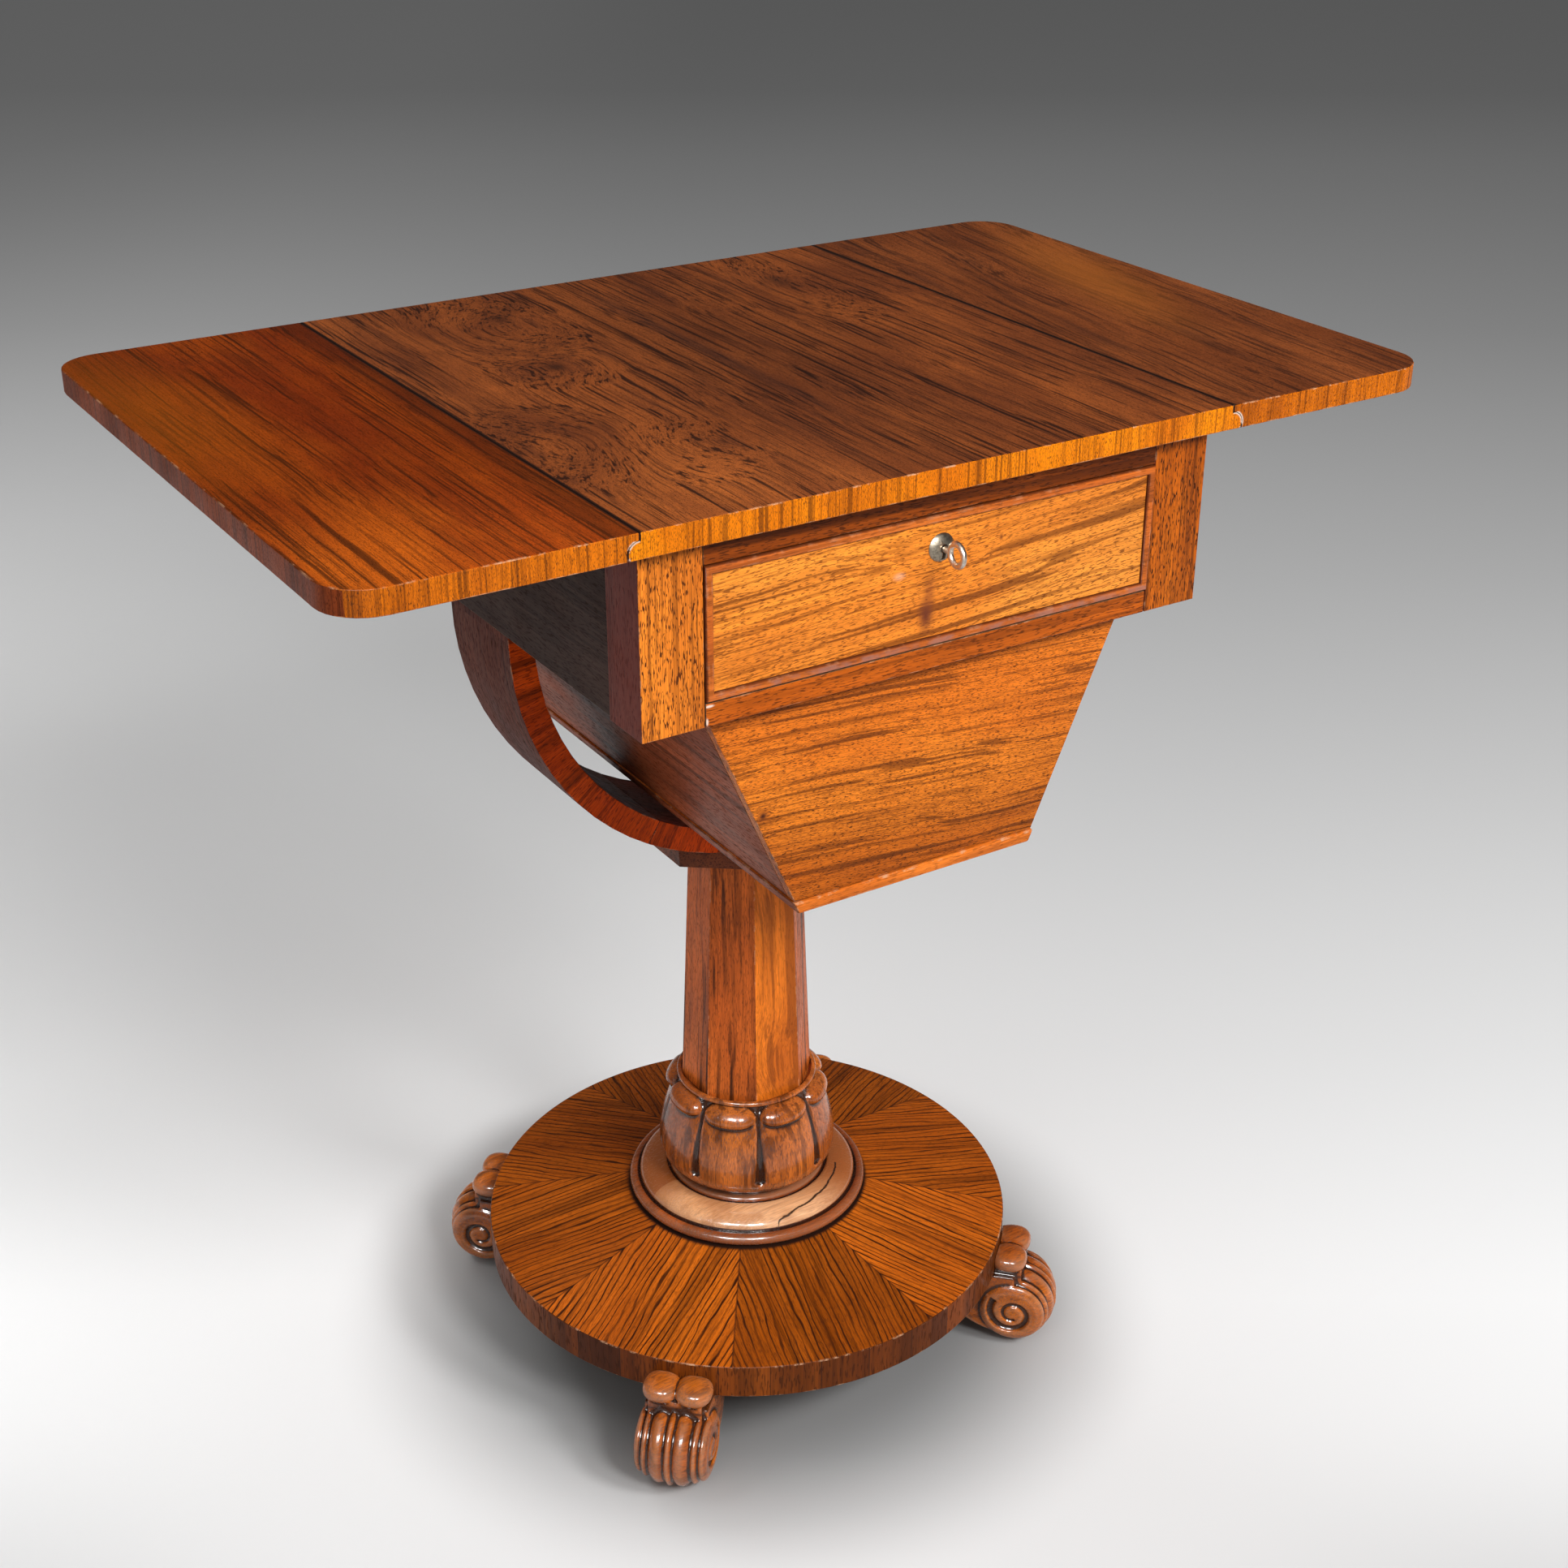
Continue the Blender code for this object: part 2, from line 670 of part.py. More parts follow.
def bead_frame(face, way):
    """The raised bead round a drawer's front: a frame seated in the face that it stands on."""
    half = opening_x - RUN
    low, high = drawer_floor, drawer_top - RUN
    ys = sorted((face + way * BEAD_PROUD, face - way * BEAD_SEAT))
    frame = outline_solid([(-half, low), (half, low), (half, high), (-half, high)], ys[1] - ys[0])
    stand = Matrix.Translation((0, (ys[0] + ys[1]) / 2, 0)) @ Matrix.Rotation(math.pi / 2, 4, "X")
    bmesh.ops.transform(frame, matrix=stand, verts=frame.verts)
    hole = block(
        (-half + BEAD_WIDTH, ys[0] - FIT, low + BEAD_WIDTH),
        (half - BEAD_WIDTH, ys[1] + FIT, high - BEAD_WIDTH),
    )
    return frame, hole


def make_back():
    """The back of the case: one board, dressed as a second drawer by its bead."""
    board = block(
        (-opening_x + FIT, case_y - BACK_THICK, drawer_floor), (opening_x - FIT, case_y, under_top - FIT)
    )
    back = add_piece("back_panel", board, rosewood_face)
    frame, hole = bead_frame(case_y, 1)
    ring = add_cutter("back_bead", frame)
    boolean(ring, "DIFFERENCE", add_cutter("back_bead_hole", hole))
    boolean(back, "UNION", ring)
    rail = block(
        (-opening_x + FIT, case_y - RAIL_DEPTH, case_floor), (opening_x - FIT, case_y, drawer_floor - FIT)
    )
    add_piece("back_bottom_rail", rail, rosewood_face)


def bolt_y():
    return drawer_face + DRAWER_FRONT_THICK - LOCK_THICK / 2


def lock_z():
    return drawer_top - RUN - LOCK_DROP


def key_hole(y_low, y_high, radius):
    """A round hole with a slot below it, the shape that the key goes through."""
    z = lock_z()
    slot_half = KEY_BIT_THICK / 2 + FIT
    slot = block((-slot_half, y_low, z - KEY_BIT_DROP - 2 * FIT), (slot_half, y_high, z))
    return slot, rod(radius, (0, y_low, z), (0, y_high, z), 16)


def make_drawer():
    pivot = pivot_at("drawer_slide", (0, drawer_face, (drawer_floor + drawer_top) / 2))
    half = opening_x - RUN
    low, high = drawer_floor, drawer_top - RUN
    inside = drawer_face + DRAWER_FRONT_THICK
    end = drawer_face + DRAWER_LENGTH
    bottom_z = low + DRAWER_BOTTOM_RISE
    bottom_top = bottom_z + DRAWER_BOTTOM_THICK
    lock_low, lock_high = high - LOCK_EDGE - LOCK_HEIGHT, high - LOCK_EDGE

    front = add_piece(
        "drawer_front", block((-half, drawer_face, low), (half, inside, high)), rosewood_face, pivot
    )
    frame, hole = bead_frame(drawer_face, -1)
    bead = add_piece("drawer_cockbead", frame, rosewood_carved, pivot)
    cut_once(bead, hole, pivot)
    seat_y = drawer_face + BEAD_SEAT + FIT
    reach = BEAD_WIDTH + FIT
    past = 2 * RUN
    ledges = (
        block((-half - past, drawer_face - past, low - past), (half + past, seat_y, low + reach)),
        block((-half - past, drawer_face - past, high - reach), (half + past, seat_y, high + past)),
        block((-half - past, drawer_face - past, low - past), (-half + reach, seat_y, high + past)),
        block((half - reach, drawer_face - past, low - past), (half + past, seat_y, high + past)),
    )
    for ledge in ledges:
        cut_once(front, ledge, pivot)
    for shape in key_hole(drawer_face - past, inside, KEY_SHANK + RUN):
        cut_once(front, shape, pivot)
    lock_half = LOCK_WIDTH / 2 + FIT
    lock_bed = block(
        (-lock_half, inside - LOCK_THICK - FIT, lock_low - FIT), (lock_half, inside + past, lock_high + FIT)
    )
    cut_once(front, lock_bed, pivot)
    bolt_half = BOLT_WIDTH / 2 + RUN
    bolt_slot = block(
        (-bolt_half, bolt_y() - BOLT_THICK / 2 - RUN, lock_high - past),
        (bolt_half, bolt_y() + BOLT_THICK / 2 + RUN, high + past),
    )
    cut_once(front, bolt_slot, pivot)
    groove = block(
        (-half + DRAWER_SIDE_THICK, inside - DRAWER_GROOVE - FIT, bottom_z - FIT),
        (half - DRAWER_SIDE_THICK, inside + past, bottom_top + FIT),
    )
    cut_once(front, groove, pivot)

    for name, side in SIDES:
        shape = block(
            (half - DRAWER_SIDE_THICK, inside + FIT, low), (half, end, low + DRAWER_SIDE_HEIGHT)
        )
        board = add_piece(f"drawer_{name}_side", mirrored(shape, side), lining_wood, pivot)
        slot = block(
            (half - DRAWER_SIDE_THICK - past, inside - past, bottom_z - FIT),
            (half - DRAWER_SIDE_THICK + DRAWER_GROOVE + FIT, end + past, bottom_top + FIT),
        )
        cut(board, mirrored(slot, side), pivot=pivot)
    inner = half - DRAWER_SIDE_THICK - FIT
    back = block(
        (-inner, end - DRAWER_BACK_THICK, bottom_top + FIT), (inner, end, low + DRAWER_SIDE_HEIGHT)
    )
    add_piece("drawer_back", back, lining_wood, pivot)
    bottom_half = half - DRAWER_SIDE_THICK
    bottom = block(
        (-bottom_half + FIT, inside - DRAWER_GROOVE, bottom_z),
        (bottom_half - FIT, end, bottom_top),
    )
    floor = add_piece("drawer_bottom", bottom, lining_wood, pivot)
    tongue = block(
        (-bottom_half - DRAWER_GROOVE, inside + 2 * FIT, bottom_z),
        (bottom_half + DRAWER_GROOVE, end, bottom_top),
    )
    unite(floor, tongue, pivot=pivot)

    case = block((-LOCK_WIDTH / 2, inside - LOCK_THICK, lock_low), (LOCK_WIDTH / 2, inside, lock_high))
    case = add_piece("lock_case", case, brass, pivot)
    z = lock_z()
    lock_front = inside - LOCK_THICK
    pocket = rod(LOCK_POCKET, (0, lock_front - RUN, z), (0, lock_front + LOCK_POCKET_DEPTH, z), 20)
    cut_once(case, pocket, pivot)
    bolt_way = block(
        (-bolt_half, bolt_y() - BOLT_THICK / 2 - RUN, high - BOLT_LENGTH - past),
        (bolt_half, bolt_y() + BOLT_THICK / 2 + RUN, lock_high + past),
    )
    cut_once(case, bolt_way, pivot)

    bolt_pivot = pivot_at("bolt_slide", (0, bolt_y(), high))
    bolt = block(
        (-BOLT_WIDTH / 2, bolt_y() - BOLT_THICK / 2, high - BOLT_LENGTH),
        (BOLT_WIDTH / 2, bolt_y() + BOLT_THICK / 2, high),
    )
    add_piece("lock_bolt", bolt, brass, bolt_pivot)
    make_escutcheon(pivot)
    make_key(lock_front)


def make_escutcheon(pivot):
    dome = [
        (ESCUTCHEON_RADIUS * math.cos(turn), ESCUTCHEON_DOME * math.sin(turn))
        for turn in (math.radians(degrees) for degrees in (90, 60, 30, 0))
    ]
    shape = turned(dome + [(0, 0)], 20)
    place = Matrix.Translation((0, drawer_face - FIT, lock_z())) @ Matrix.Rotation(math.pi / 2, 4, "X")
    bmesh.ops.transform(shape, matrix=place, verts=shape.verts)
    plate = add_piece("escutcheon", shape, brass, pivot, smooth=40)
    for hole in key_hole(drawer_face - 2 * ESCUTCHEON_DOME, drawer_face + RUN, KEY_SHANK + RUN):
        cut_once(plate, hole, pivot)


def make_key(lock_front):
    """The key, with an upright ring for a bow and a bit that hangs down inside the lock."""
    z = lock_z()
    pivot = pivot_at("key_turn", (0, drawer_face, z))
    bow_y = drawer_face - KEY_REACH + KEY_BOW_WIRE + KEY_BOW_HEIGHT
    end_y = lock_front + LOCK_POCKET_DEPTH - RUN
    key = add_piece(
        "key", rod(KEY_SHANK, (0, bow_y + KEY_BOW_HEIGHT, z), (0, end_y, z), 14), steel, pivot
    )
    turns = 10
    wire = [
        (KEY_BOW_HEIGHT + KEY_BOW_WIRE * math.cos(math.tau * n / 6), KEY_BOW_WIRE * math.sin(math.tau * n / 6))
        for n in range(6, 0, -1)
    ]
    bow = turned(wire, 2 * turns, closed=True)
    place = Matrix.Translation((0, bow_y, z)) @ Matrix.Rotation(math.pi / 2, 4, "Y")
    bmesh.ops.transform(bow, matrix=place, verts=bow.verts)
    unite_next(key, bow, pivot)
    bit = block(
        (-KEY_BIT_THICK / 2, end_y - KEY_BIT_LENGTH, z - KEY_BIT_DROP), (KEY_BIT_THICK / 2, end_y - RUN, z)
    )
    unite_next(key, bit, pivot)


def box_x(z):
    """Half the workbox's outside width at a height."""
    return box_top_x - WORKBOX_TAPER * (box_top - z) / WORKBOX_HEIGHT


def tapered(z_low, z_high, inset=0.0):
    """A slice of the workbox's section between two heights, as an outline."""
    low, high = box_x(z_low) - inset, box_x(z_high) - inset
    return [(-low, z_low), (low, z_low), (high, z_high), (-high, z_high)]


def make_workbox():
    pivot = pivot_at("workbox_slide", (0, box_face, box_top))
    panel_floor = box_floor + WORKBOX_BOTTOM_THICK + FIT
    for name, way in (("front", -1), ("back", 1)):
        faces = sorted((way * -box_face, way * (-box_face - WORKBOX_PANEL_THICK)))
        panel = section(tapered(panel_floor, box_top), *faces)
        add_piece(f"workbox_{name}_panel", panel, rosewood_face, pivot)
    inside = -box_face - WORKBOX_PANEL_THICK - FIT
    lean = WORKBOX_TAPER / WORKBOX_HEIGHT
    level = WORKBOX_SIDE_THICK * math.sqrt(1 + lean * lean)
    for name, side in SIDES:
        low, high = box_x(panel_floor), box_x(box_top)
        outline = [
            (low - level, panel_floor),
            (low, panel_floor),
            (high, box_top),
            (high - level, box_top),
        ]
        wall = mirrored(section(outline, -inside, inside), side)
        add_piece(f"workbox_{name}_side", wall, rosewood_side, pivot)
        top_z = drawer_floor - FIT - RUNNER_LEDGE_THICK - RUN
        low_z = top_z - WORKBOX_TONGUE_THICK
        tongue = [
            (box_x(low_z) + FIT, low_z),
            (opening_x - RUN, low_z),
            (opening_x - RUN, min(top_z, box_top)),
            (box_x(min(top_z, box_top)) + FIT, min(top_z, box_top)),
        ]
        strip = mirrored(section(tongue, -inside, inside), side)
        add_piece(f"workbox_{name}_runner", strip, bearer_wood, pivot)
    lip = WORKBOX_BOTTOM_LIP
    floor = section(
        tapered(box_floor, box_floor + WORKBOX_BOTTOM_THICK, -lip), box_face - lip, -box_face
    )
    add_piece("workbox_bottom", floor, rosewood_face, pivot)
    rail = block(
        (-opening_x + RUN, drawer_face, case_floor), (opening_x - RUN, drawer_face + RAIL_DEPTH, rail_top)
    )
    add_piece("workbox_front_rail", rail, rosewood_face, pivot)


def make_yoke():
    """A half ring under the case: a seat on the pillar, and two arms tenoned into the aprons."""
    centre = (0, yoke_z)
    down = -math.pi / 2
    seat = arc(centre, yoke_radius, down - YOKE_SPLICE, down + YOKE_SPLICE, 12)
    seat += arc(centre, yoke_inner, down + YOKE_SPLICE, down - YOKE_SPLICE, 12)
    add_piece(
        "yoke_seat", section(seat, -YOKE_DEPTH / 2, YOKE_DEPTH / 2), rosewood_face, smooth=25
    )
    gap = FIT / yoke_radius
    shoulder = case_floor - FIT
    middle = (yoke_radius + yoke_inner) / 2
    tenon = YOKE_TENON_THICK / 2
    tip = case_floor + YOKE_TENON_HEIGHT
    outline = arc(centre, yoke_radius, down + YOKE_SPLICE + gap, 0, 12)
    outline += [
        (yoke_radius, shoulder),
        (middle + tenon, shoulder),
        (middle + tenon, tip),
        (middle - tenon, tip),
        (middle - tenon, shoulder),
        (yoke_inner, shoulder),
    ]
    outline += arc(centre, yoke_inner, 0, down + YOKE_SPLICE + gap, 12)
    for name, side in SIDES:
        arm = mirrored(section(outline, -YOKE_DEPTH / 2, YOKE_DEPTH / 2), side)
        add_piece(f"yoke_{name}_arm", arm, rosewood_face, smooth=25)


def make_pillar():
    make_capital()
    foot = collar_top - COLLAR_SEAT + FIT
    head = capital_foot - FIT
    shape = bmesh.new()
    bmesh.ops.create_cone(
        shape,
        cap_ends=True,
        segments=COLUMN_SIDES,
        radius1=COLUMN_FOOT_RADIUS,
        radius2=COLUMN_TOP_RADIUS,
        depth=head - foot,
    )
    turn = Matrix.Rotation(math.pi / COLUMN_SIDES, 4, "Z")
    place = Matrix.Translation((0, 0, (head + foot) / 2)) @ turn
    bmesh.ops.transform(shape, matrix=place, verts=shape.verts)
    column = add_piece("column", shape, rosewood_face)
    tenon = rod(TENON_RADIUS, (0, 0, plinth_top - TENON_FOOT), (0, 0, capital_foot + TENON_TOP), 16)
    unite(column, tenon)
    make_collar()
    make_socle()
    make_plinth()


def make_capital():
    """A long eight-sided block, hollowed on top to the yoke's curve."""
    half_x, half_y = CAPITAL_WIDTH / 2, CAPITAL_DEPTH / 2
    head = yoke_z - math.sqrt(yoke_radius ** 2 - half_x ** 2) + RUN
    radius = half_x / math.cos(math.pi / COLUMN_SIDES)
    shape = bmesh.new()
    bmesh.ops.create_cone(
        shape,
        cap_ends=True,
        segments=COLUMN_SIDES,
        radius1=radius,
        radius2=radius,
        depth=head - capital_foot,
    )
    squeeze = Matrix.Diagonal((1, half_y / half_x, 1, 1))
    place = Matrix.Translation((0, 0, (head + capital_foot) / 2)) @ squeeze
    place = place @ Matrix.Rotation(math.pi / COLUMN_SIDES, 4, "Z")
    bmesh.ops.transform(shape, matrix=place, verts=shape.verts)
    side_z = capital_foot + CAPITAL_SIDE
    bmesh.ops.bisect_plane(
        shape,
        geom=shape.verts[:] + shape.edges[:] + shape.faces[:],
        plane_co=(0, 0, side_z),
        plane_no=(0, 0, 1),
    )
    crown = [point for point in shape.verts if point.co.z > side_z + WELD]
    bmesh.ops.scale(shape, verts=crown, vec=(1, (YOKE_DEPTH / 2) / half_y, 1))
    capital = add_piece("capital", shape, rosewood_face)
    saddle = rod(yoke_radius + FIT, (0, -YOKE_DEPTH, yoke_z), (0, YOKE_DEPTH, yoke_z), 96)
    cut_once(capital, saddle)
    mortise = rod(
        TENON_RADIUS + FIT, (0, 0, capital_foot - RUN), (0, 0, capital_foot + TENON_TOP + FIT), 16
    )
    cut_once(capital, mortise)


def collar_radius(share):
    """The collar's plain outline, from its foot (0) to its neck (1)."""
    if share < COLLAR_BULGE_AT:
        rest = 1 - share / COLLAR_BULGE_AT
        return COLLAR_FOOT_RADIUS + (COLLAR_BULGE_RADIUS - COLLAR_FOOT_RADIUS) * math.sqrt(1 - rest * rest)
    rest = (share - COLLAR_BULGE_AT) / (1 - COLLAR_BULGE_AT)
    return COLLAR_NECK_RADIUS + (COLLAR_BULGE_RADIUS - COLLAR_NECK_RADIUS) * math.cos(rest * math.pi / 2)


def carved_by(turn, z, radius):
    """How far the carving stands out of the collar's plain outline, or goes into it."""
    petal = math.tau / COLUMN_SIDES
    off = (turn + petal / 2) % petal - petal / 2
    lobe_z = collar_top - LOBE_DROP
    across = abs(off) / LOBE_HALF_ANGLE
    along = abs(z - lobe_z) / (LOBE_HEIGHT / 2)
    lobe = LOBE_RISE * math.sqrt(max(0.0, 1 - across ** 3 - along ** 2))
    dart_low = socle_top + DART_FOOT
    dart_high = lobe_z
    share = (z - dart_low) / (dart_high - dart_low)
    if not 0 <= share <= 1:
        return lobe
    width = DART_WIDTH / 2 * (1 - 0.75 * share)
    away = (petal / 2 - abs(off)) * radius
    dart = DART_DEPTH * max(0.0, 1 - (away / width) ** 2)
    return lobe - dart


def make_collar():
    """The turned collar, carved with rounded petals that meet on the column's corners."""
    foot_z = socle_top + FIT
    neck_z = collar_top - COLLAR_RING_HEIGHT
    rows = 11
    profile = [
        (COLUMN_FOOT_RADIUS + FIT, collar_top - COLLAR_SEAT),
        (COLUMN_FOOT_RADIUS + FIT, collar_top),
        (COLLAR_RING_RADIUS - RUN, collar_top),
        (COLLAR_RING_RADIUS, collar_top - COLLAR_RING_HEIGHT / 2),
    ]
    for row in range(rows, -1, -1):
        share = row / rows
        profile.append((collar_radius(share), foot_z + (neck_z - foot_z) * share))
    profile += [(TENON_RADIUS + FIT, foot_z), (TENON_RADIUS + FIT, collar_top - COLLAR_SEAT)]
    shape = turned(profile, COLLAR_STEPS, closed=True)
    for point in shape.verts:
        radius = math.hypot(point.co.x, point.co.y)
        if radius < COLLAR_NECK_RADIUS - RUN or not foot_z < point.co.z < neck_z + WELD:
            continue
        turn = math.atan2(point.co.y, point.co.x)
        # the steps crowd together towards the darts, between the petals
        turn += 0.5 * math.sin(COLUMN_SIDES * turn) / COLUMN_SIDES
        radius += carved_by(turn, point.co.z, radius)
        point.co.x = radius * math.cos(turn)
        point.co.y = radius * math.sin(turn)
    add_piece("carved_collar", shape, rosewood_carved, smooth=50)


def make_socle():
    """The turned foot of the pillar: a groove, a broad rounded dish and a half-round ring."""
    foot_z = plinth_top + FIT
    dish_z = socle_top - SOCLE_QUIRK - SOCLE_DISH_RISE
    profile = [
        (TENON_RADIUS + FIT, socle_top),
        (COLLAR_FOOT_RADIUS + RUN, socle_top),
        (SOCLE_TOP_RADIUS - SOCLE_QUIRK, socle_top - 2 * SOCLE_QUIRK),
    ]
    steps = 4
    for step in range(steps + 1):
        turn = math.pi / 2 * step / steps
        profile.append((
            SOCLE_TOP_RADIUS + (SOCLE_DISH_RADIUS - SOCLE_TOP_RADIUS) * math.sin(turn),
            dish_z + SOCLE_DISH_RISE * math.cos(turn),
        ))
    ring = (SOCLE_RADIUS - SOCLE_RING, foot_z + SOCLE_RING)
    profile += arc(ring, SOCLE_RING, math.pi * 0.6, -math.pi / 2, 5)
    profile.append((TENON_RADIUS + FIT, foot_z))
    add_piece("socle", turned(profile, 48, closed=True), rosewood_carved, smooth=40)


def make_plinth():
    """A round plinth whose top rises from a thick edge to the socle."""
    low = FOOT_HEIGHT
    profile = [
        (0, plinth_top),
        (SOCLE_RADIUS, plinth_top),
        (PLINTH_RADIUS - PLINTH_ARRIS, rim_top),
        (PLINTH_RADIUS, rim_top - PLINTH_ARRIS),
        (PLINTH_RADIUS, low + PLINTH_ARRIS),
        (PLINTH_RADIUS - PLINTH_ARRIS, low),
        (0, low),
    ]
    plinth = add_piece("plinth", turned(profile, 72), rosewood_face, smooth=40)
    socket = rod(
        TENON_RADIUS + FIT, (0, 0, plinth_top - TENON_FOOT - FIT), (0, 0, plinth_top + RUN), 16
    )
    cut(plinth, socket)


def reeds():
    """The reeds across a scroll: (middle, half width), from its outer band to its middle."""
    narrow_at = REED_CENTRE / 2 + REED_WIDE + REED_NARROW / 2
    band = (FOOT_WIDTH / 2 - narrow_at - REED_NARROW / 2) / 2
    half = [
        (FOOT_WIDTH / 2 - band, band),
        (narrow_at, REED_NARROW / 2),
        (REED_CENTRE / 2 + REED_WIDE / 2, REED_WIDE / 2),
    ]
    other = [(-middle, width) for middle, width in reversed(half)]
    return half + [(0.0, REED_CENTRE / 2)] + other


def scroll_profile():
    """The reeded outline of a scroll: (radius, place across), from one end face to the other."""
    end = FOOT_WIDTH / 2
    profile = [(0, end)]
    reed_steps = 3
    for middle, half in reeds():
        for step in range(reed_steps + 1):
            across = middle + half * (1 - 2 * step / reed_steps)
            slim = FOOT_BARREL_DROP * (across / end) ** 2
            swell = math.sin(math.pi * step / reed_steps) ** 0.7 if 0 < step < reed_steps else 0.0
            point = (FOOT_SCROLL_RADIUS - slim - REED_DEPTH * (1 - swell), across)
            if abs(profile[-1][1] - point[1]) > WELD or profile[-1][0] == 0:
                profile.append(point)
    profile.append((0, -end))
    return profile


def volute(place, side):
    """The spiral groove on an end face of a scroll, as a tube that lies half in the face."""
    curve = bpy.data.curves.new("volute", "CURVE")
    curve.dimensions = "3D"
    curve.bevel_depth = VOLUTE_GROOVE
    curve.bevel_resolution = 0
    curve.use_fill_caps = True
    steps = 16
    line = curve.splines.new("POLY")
    line.points.add(steps)
    for step, point in enumerate(line.points):
        share = step / steps
        radius = VOLUTE_RADIUS * (VOLUTE_EYE / VOLUTE_RADIUS) ** share
        turn = VOLUTE_START + math.tau * VOLUTE_TURNS * share
        point.co = (
            place[0] + radius * math.cos(turn),
            side * FOOT_WIDTH / 2,
            place[2] + radius * math.sin(turn),
            1,
        )
    item = bpy.data.objects.new("volute", curve)
    cutters.objects.link(item)
    return evaluated(item)


def bun_at(spot):
    """A rounded cushion."""
    shape = bmesh.new()
    bmesh.ops.create_uvsphere(shape, u_segments=12, v_segments=8, radius=1.0)
    for point in shape.verts:
        spread = sum(abs(value) ** BUN_SQUARE for value in point.co)
        point.co *= spread ** (-1 / BUN_SQUARE)
    bmesh.ops.scale(shape, verts=shape.verts, vec=(BUN_LENGTH, BUN_WIDTH, BUN_HEIGHT))
    bmesh.ops.translate(shape, verts=shape.verts, vec=spot)
    return shape


def make_feet():
    """Four scroll feet: a reeded scroll with a volute on each end, two buns above, a tail behind."""
    middle_x = PLINTH_RADIUS + FOOT_SCROLL_OUT
    middle_z = FOOT_SCROLL_RADIUS - FOOT_PAD
    place = (middle_x, 0, middle_z)
    shape = turned(scroll_profile(), SCROLL_STEPS)
    lay = Matrix.Translation(place) @ Matrix.Rotation(-math.pi / 2, 4, "X")
    lay = lay @ Matrix.Rotation(math.pi / SCROLL_STEPS, 4, "Z")
    bmesh.ops.transform(shape, matrix=lay, verts=shape.verts)
    foot = add_object("foot", shape, cutters, None)
    for side in (-1, 1):
        cut_once(foot, volute(place, side))
    bun_z = (FOOT_HEIGHT + rim_top) / 2 - BUN_DROP
    for side in (-1, 1):
        unite_next(foot, bun_at((PLINTH_RADIUS + BUN_OUT, side * (BUN_WIDTH - RUN), bun_z)))
    neck = block(
        (PLINTH_RADIUS - REED_WIDE, -FOOT_NECK_WIDTH / 2, middle_z),
        (PLINTH_RADIUS + FOOT_NECK_OUT, FOOT_NECK_WIDTH / 2, bun_z - BUN_HEIGHT / 2),
    )
    unite_next(foot, neck)
    tail_x = middle_x - FOOT_TAIL_LENGTH
    outline = [(middle_x, FOOT_HEIGHT), (tail_x, FOOT_HEIGHT), (tail_x, FOOT_HEIGHT - FOOT_TAIL_TIP)]
    low_z = FOOT_BARREL_DROP
    steps = 5
    for step in range(1, steps + 1):
        turn = math.pi / 2 * step / steps
        outline.append((
            tail_x + FOOT_TAIL_LENGTH * (1 - math.cos(turn)),
            FOOT_HEIGHT - FOOT_TAIL_TIP - (FOOT_HEIGHT - FOOT_TAIL_TIP - low_z) * math.sin(turn),
        ))
    unite_next(foot, section(outline, -FOOT_TAIL_WIDTH / 2, FOOT_TAIL_WIDTH / 2))
    rim = rod(PLINTH_RADIUS + FIT, (0, 0, FOOT_HEIGHT - FIT), (0, 0, rim_top + BUN_HEIGHT), 72)
    cut_once(foot, rim)
    floor = block(
        (0, -FOOT_WIDTH, -FOOT_SCROLL_RADIUS), (2 * PLINTH_RADIUS, FOOT_WIDTH, 0)
    )
    cut_once(foot, floor)
    whole = evaluated(foot)
    mesh = bpy.data.meshes.new("scroll_foot")
    whole.to_mesh(mesh)
    whole.free()
    mesh.materials.append(rosewood_carved)
    mesh.shade_smooth()
    mesh.set_sharp_from_angle(angle=math.radians(50))
    names = ("back_right", "back_left", "front_left", "front_right")
    for number, name in enumerate(names[:FOOT_COUNT]):
        item = bpy.data.objects.new(name + "_foot", mesh)
        item.rotation_euler.z = math.tau * (number + 0.5) / FOOT_COUNT
        parts.objects.link(item)


def make_leaves():
    for name, side in SIDES:
        pivot = pivot_at(name + "_leaf_hinge", (side * joint_x, 0, hinge_z))
        make_leaf(name + "_leaf", side, pivot)
        for place, y in zip(("front", "back"), hinge_places()):
            make_hinge(f"{name}_{place}_hinge", side, y, pivot)
        make_fly_bracket(name + "_fly_bracket", side)


clear_scene()
make_top()
make_leaves()
make_case()
make_drawer()
make_workbox()
make_yoke()
make_pillar()
make_feet()
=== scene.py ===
"""The looks of the drop-leaf work table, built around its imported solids."""

import functools
import json
import math
import operator

import bmesh
import bpy
import numpy as np
from mathutils import Matrix, Vector


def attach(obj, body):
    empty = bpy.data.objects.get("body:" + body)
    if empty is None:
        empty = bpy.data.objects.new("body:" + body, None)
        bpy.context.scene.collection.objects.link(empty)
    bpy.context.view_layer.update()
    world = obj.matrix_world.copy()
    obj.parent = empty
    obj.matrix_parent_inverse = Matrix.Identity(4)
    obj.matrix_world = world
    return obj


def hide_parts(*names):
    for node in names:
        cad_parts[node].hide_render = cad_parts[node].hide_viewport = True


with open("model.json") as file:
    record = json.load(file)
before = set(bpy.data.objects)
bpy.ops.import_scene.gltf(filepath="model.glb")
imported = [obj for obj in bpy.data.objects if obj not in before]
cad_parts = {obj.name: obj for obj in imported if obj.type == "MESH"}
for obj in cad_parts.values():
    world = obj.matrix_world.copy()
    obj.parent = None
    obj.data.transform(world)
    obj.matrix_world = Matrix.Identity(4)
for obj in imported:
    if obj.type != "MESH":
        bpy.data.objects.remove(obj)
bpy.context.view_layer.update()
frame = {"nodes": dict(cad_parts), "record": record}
nodes = frame["nodes"]
record = frame["record"]
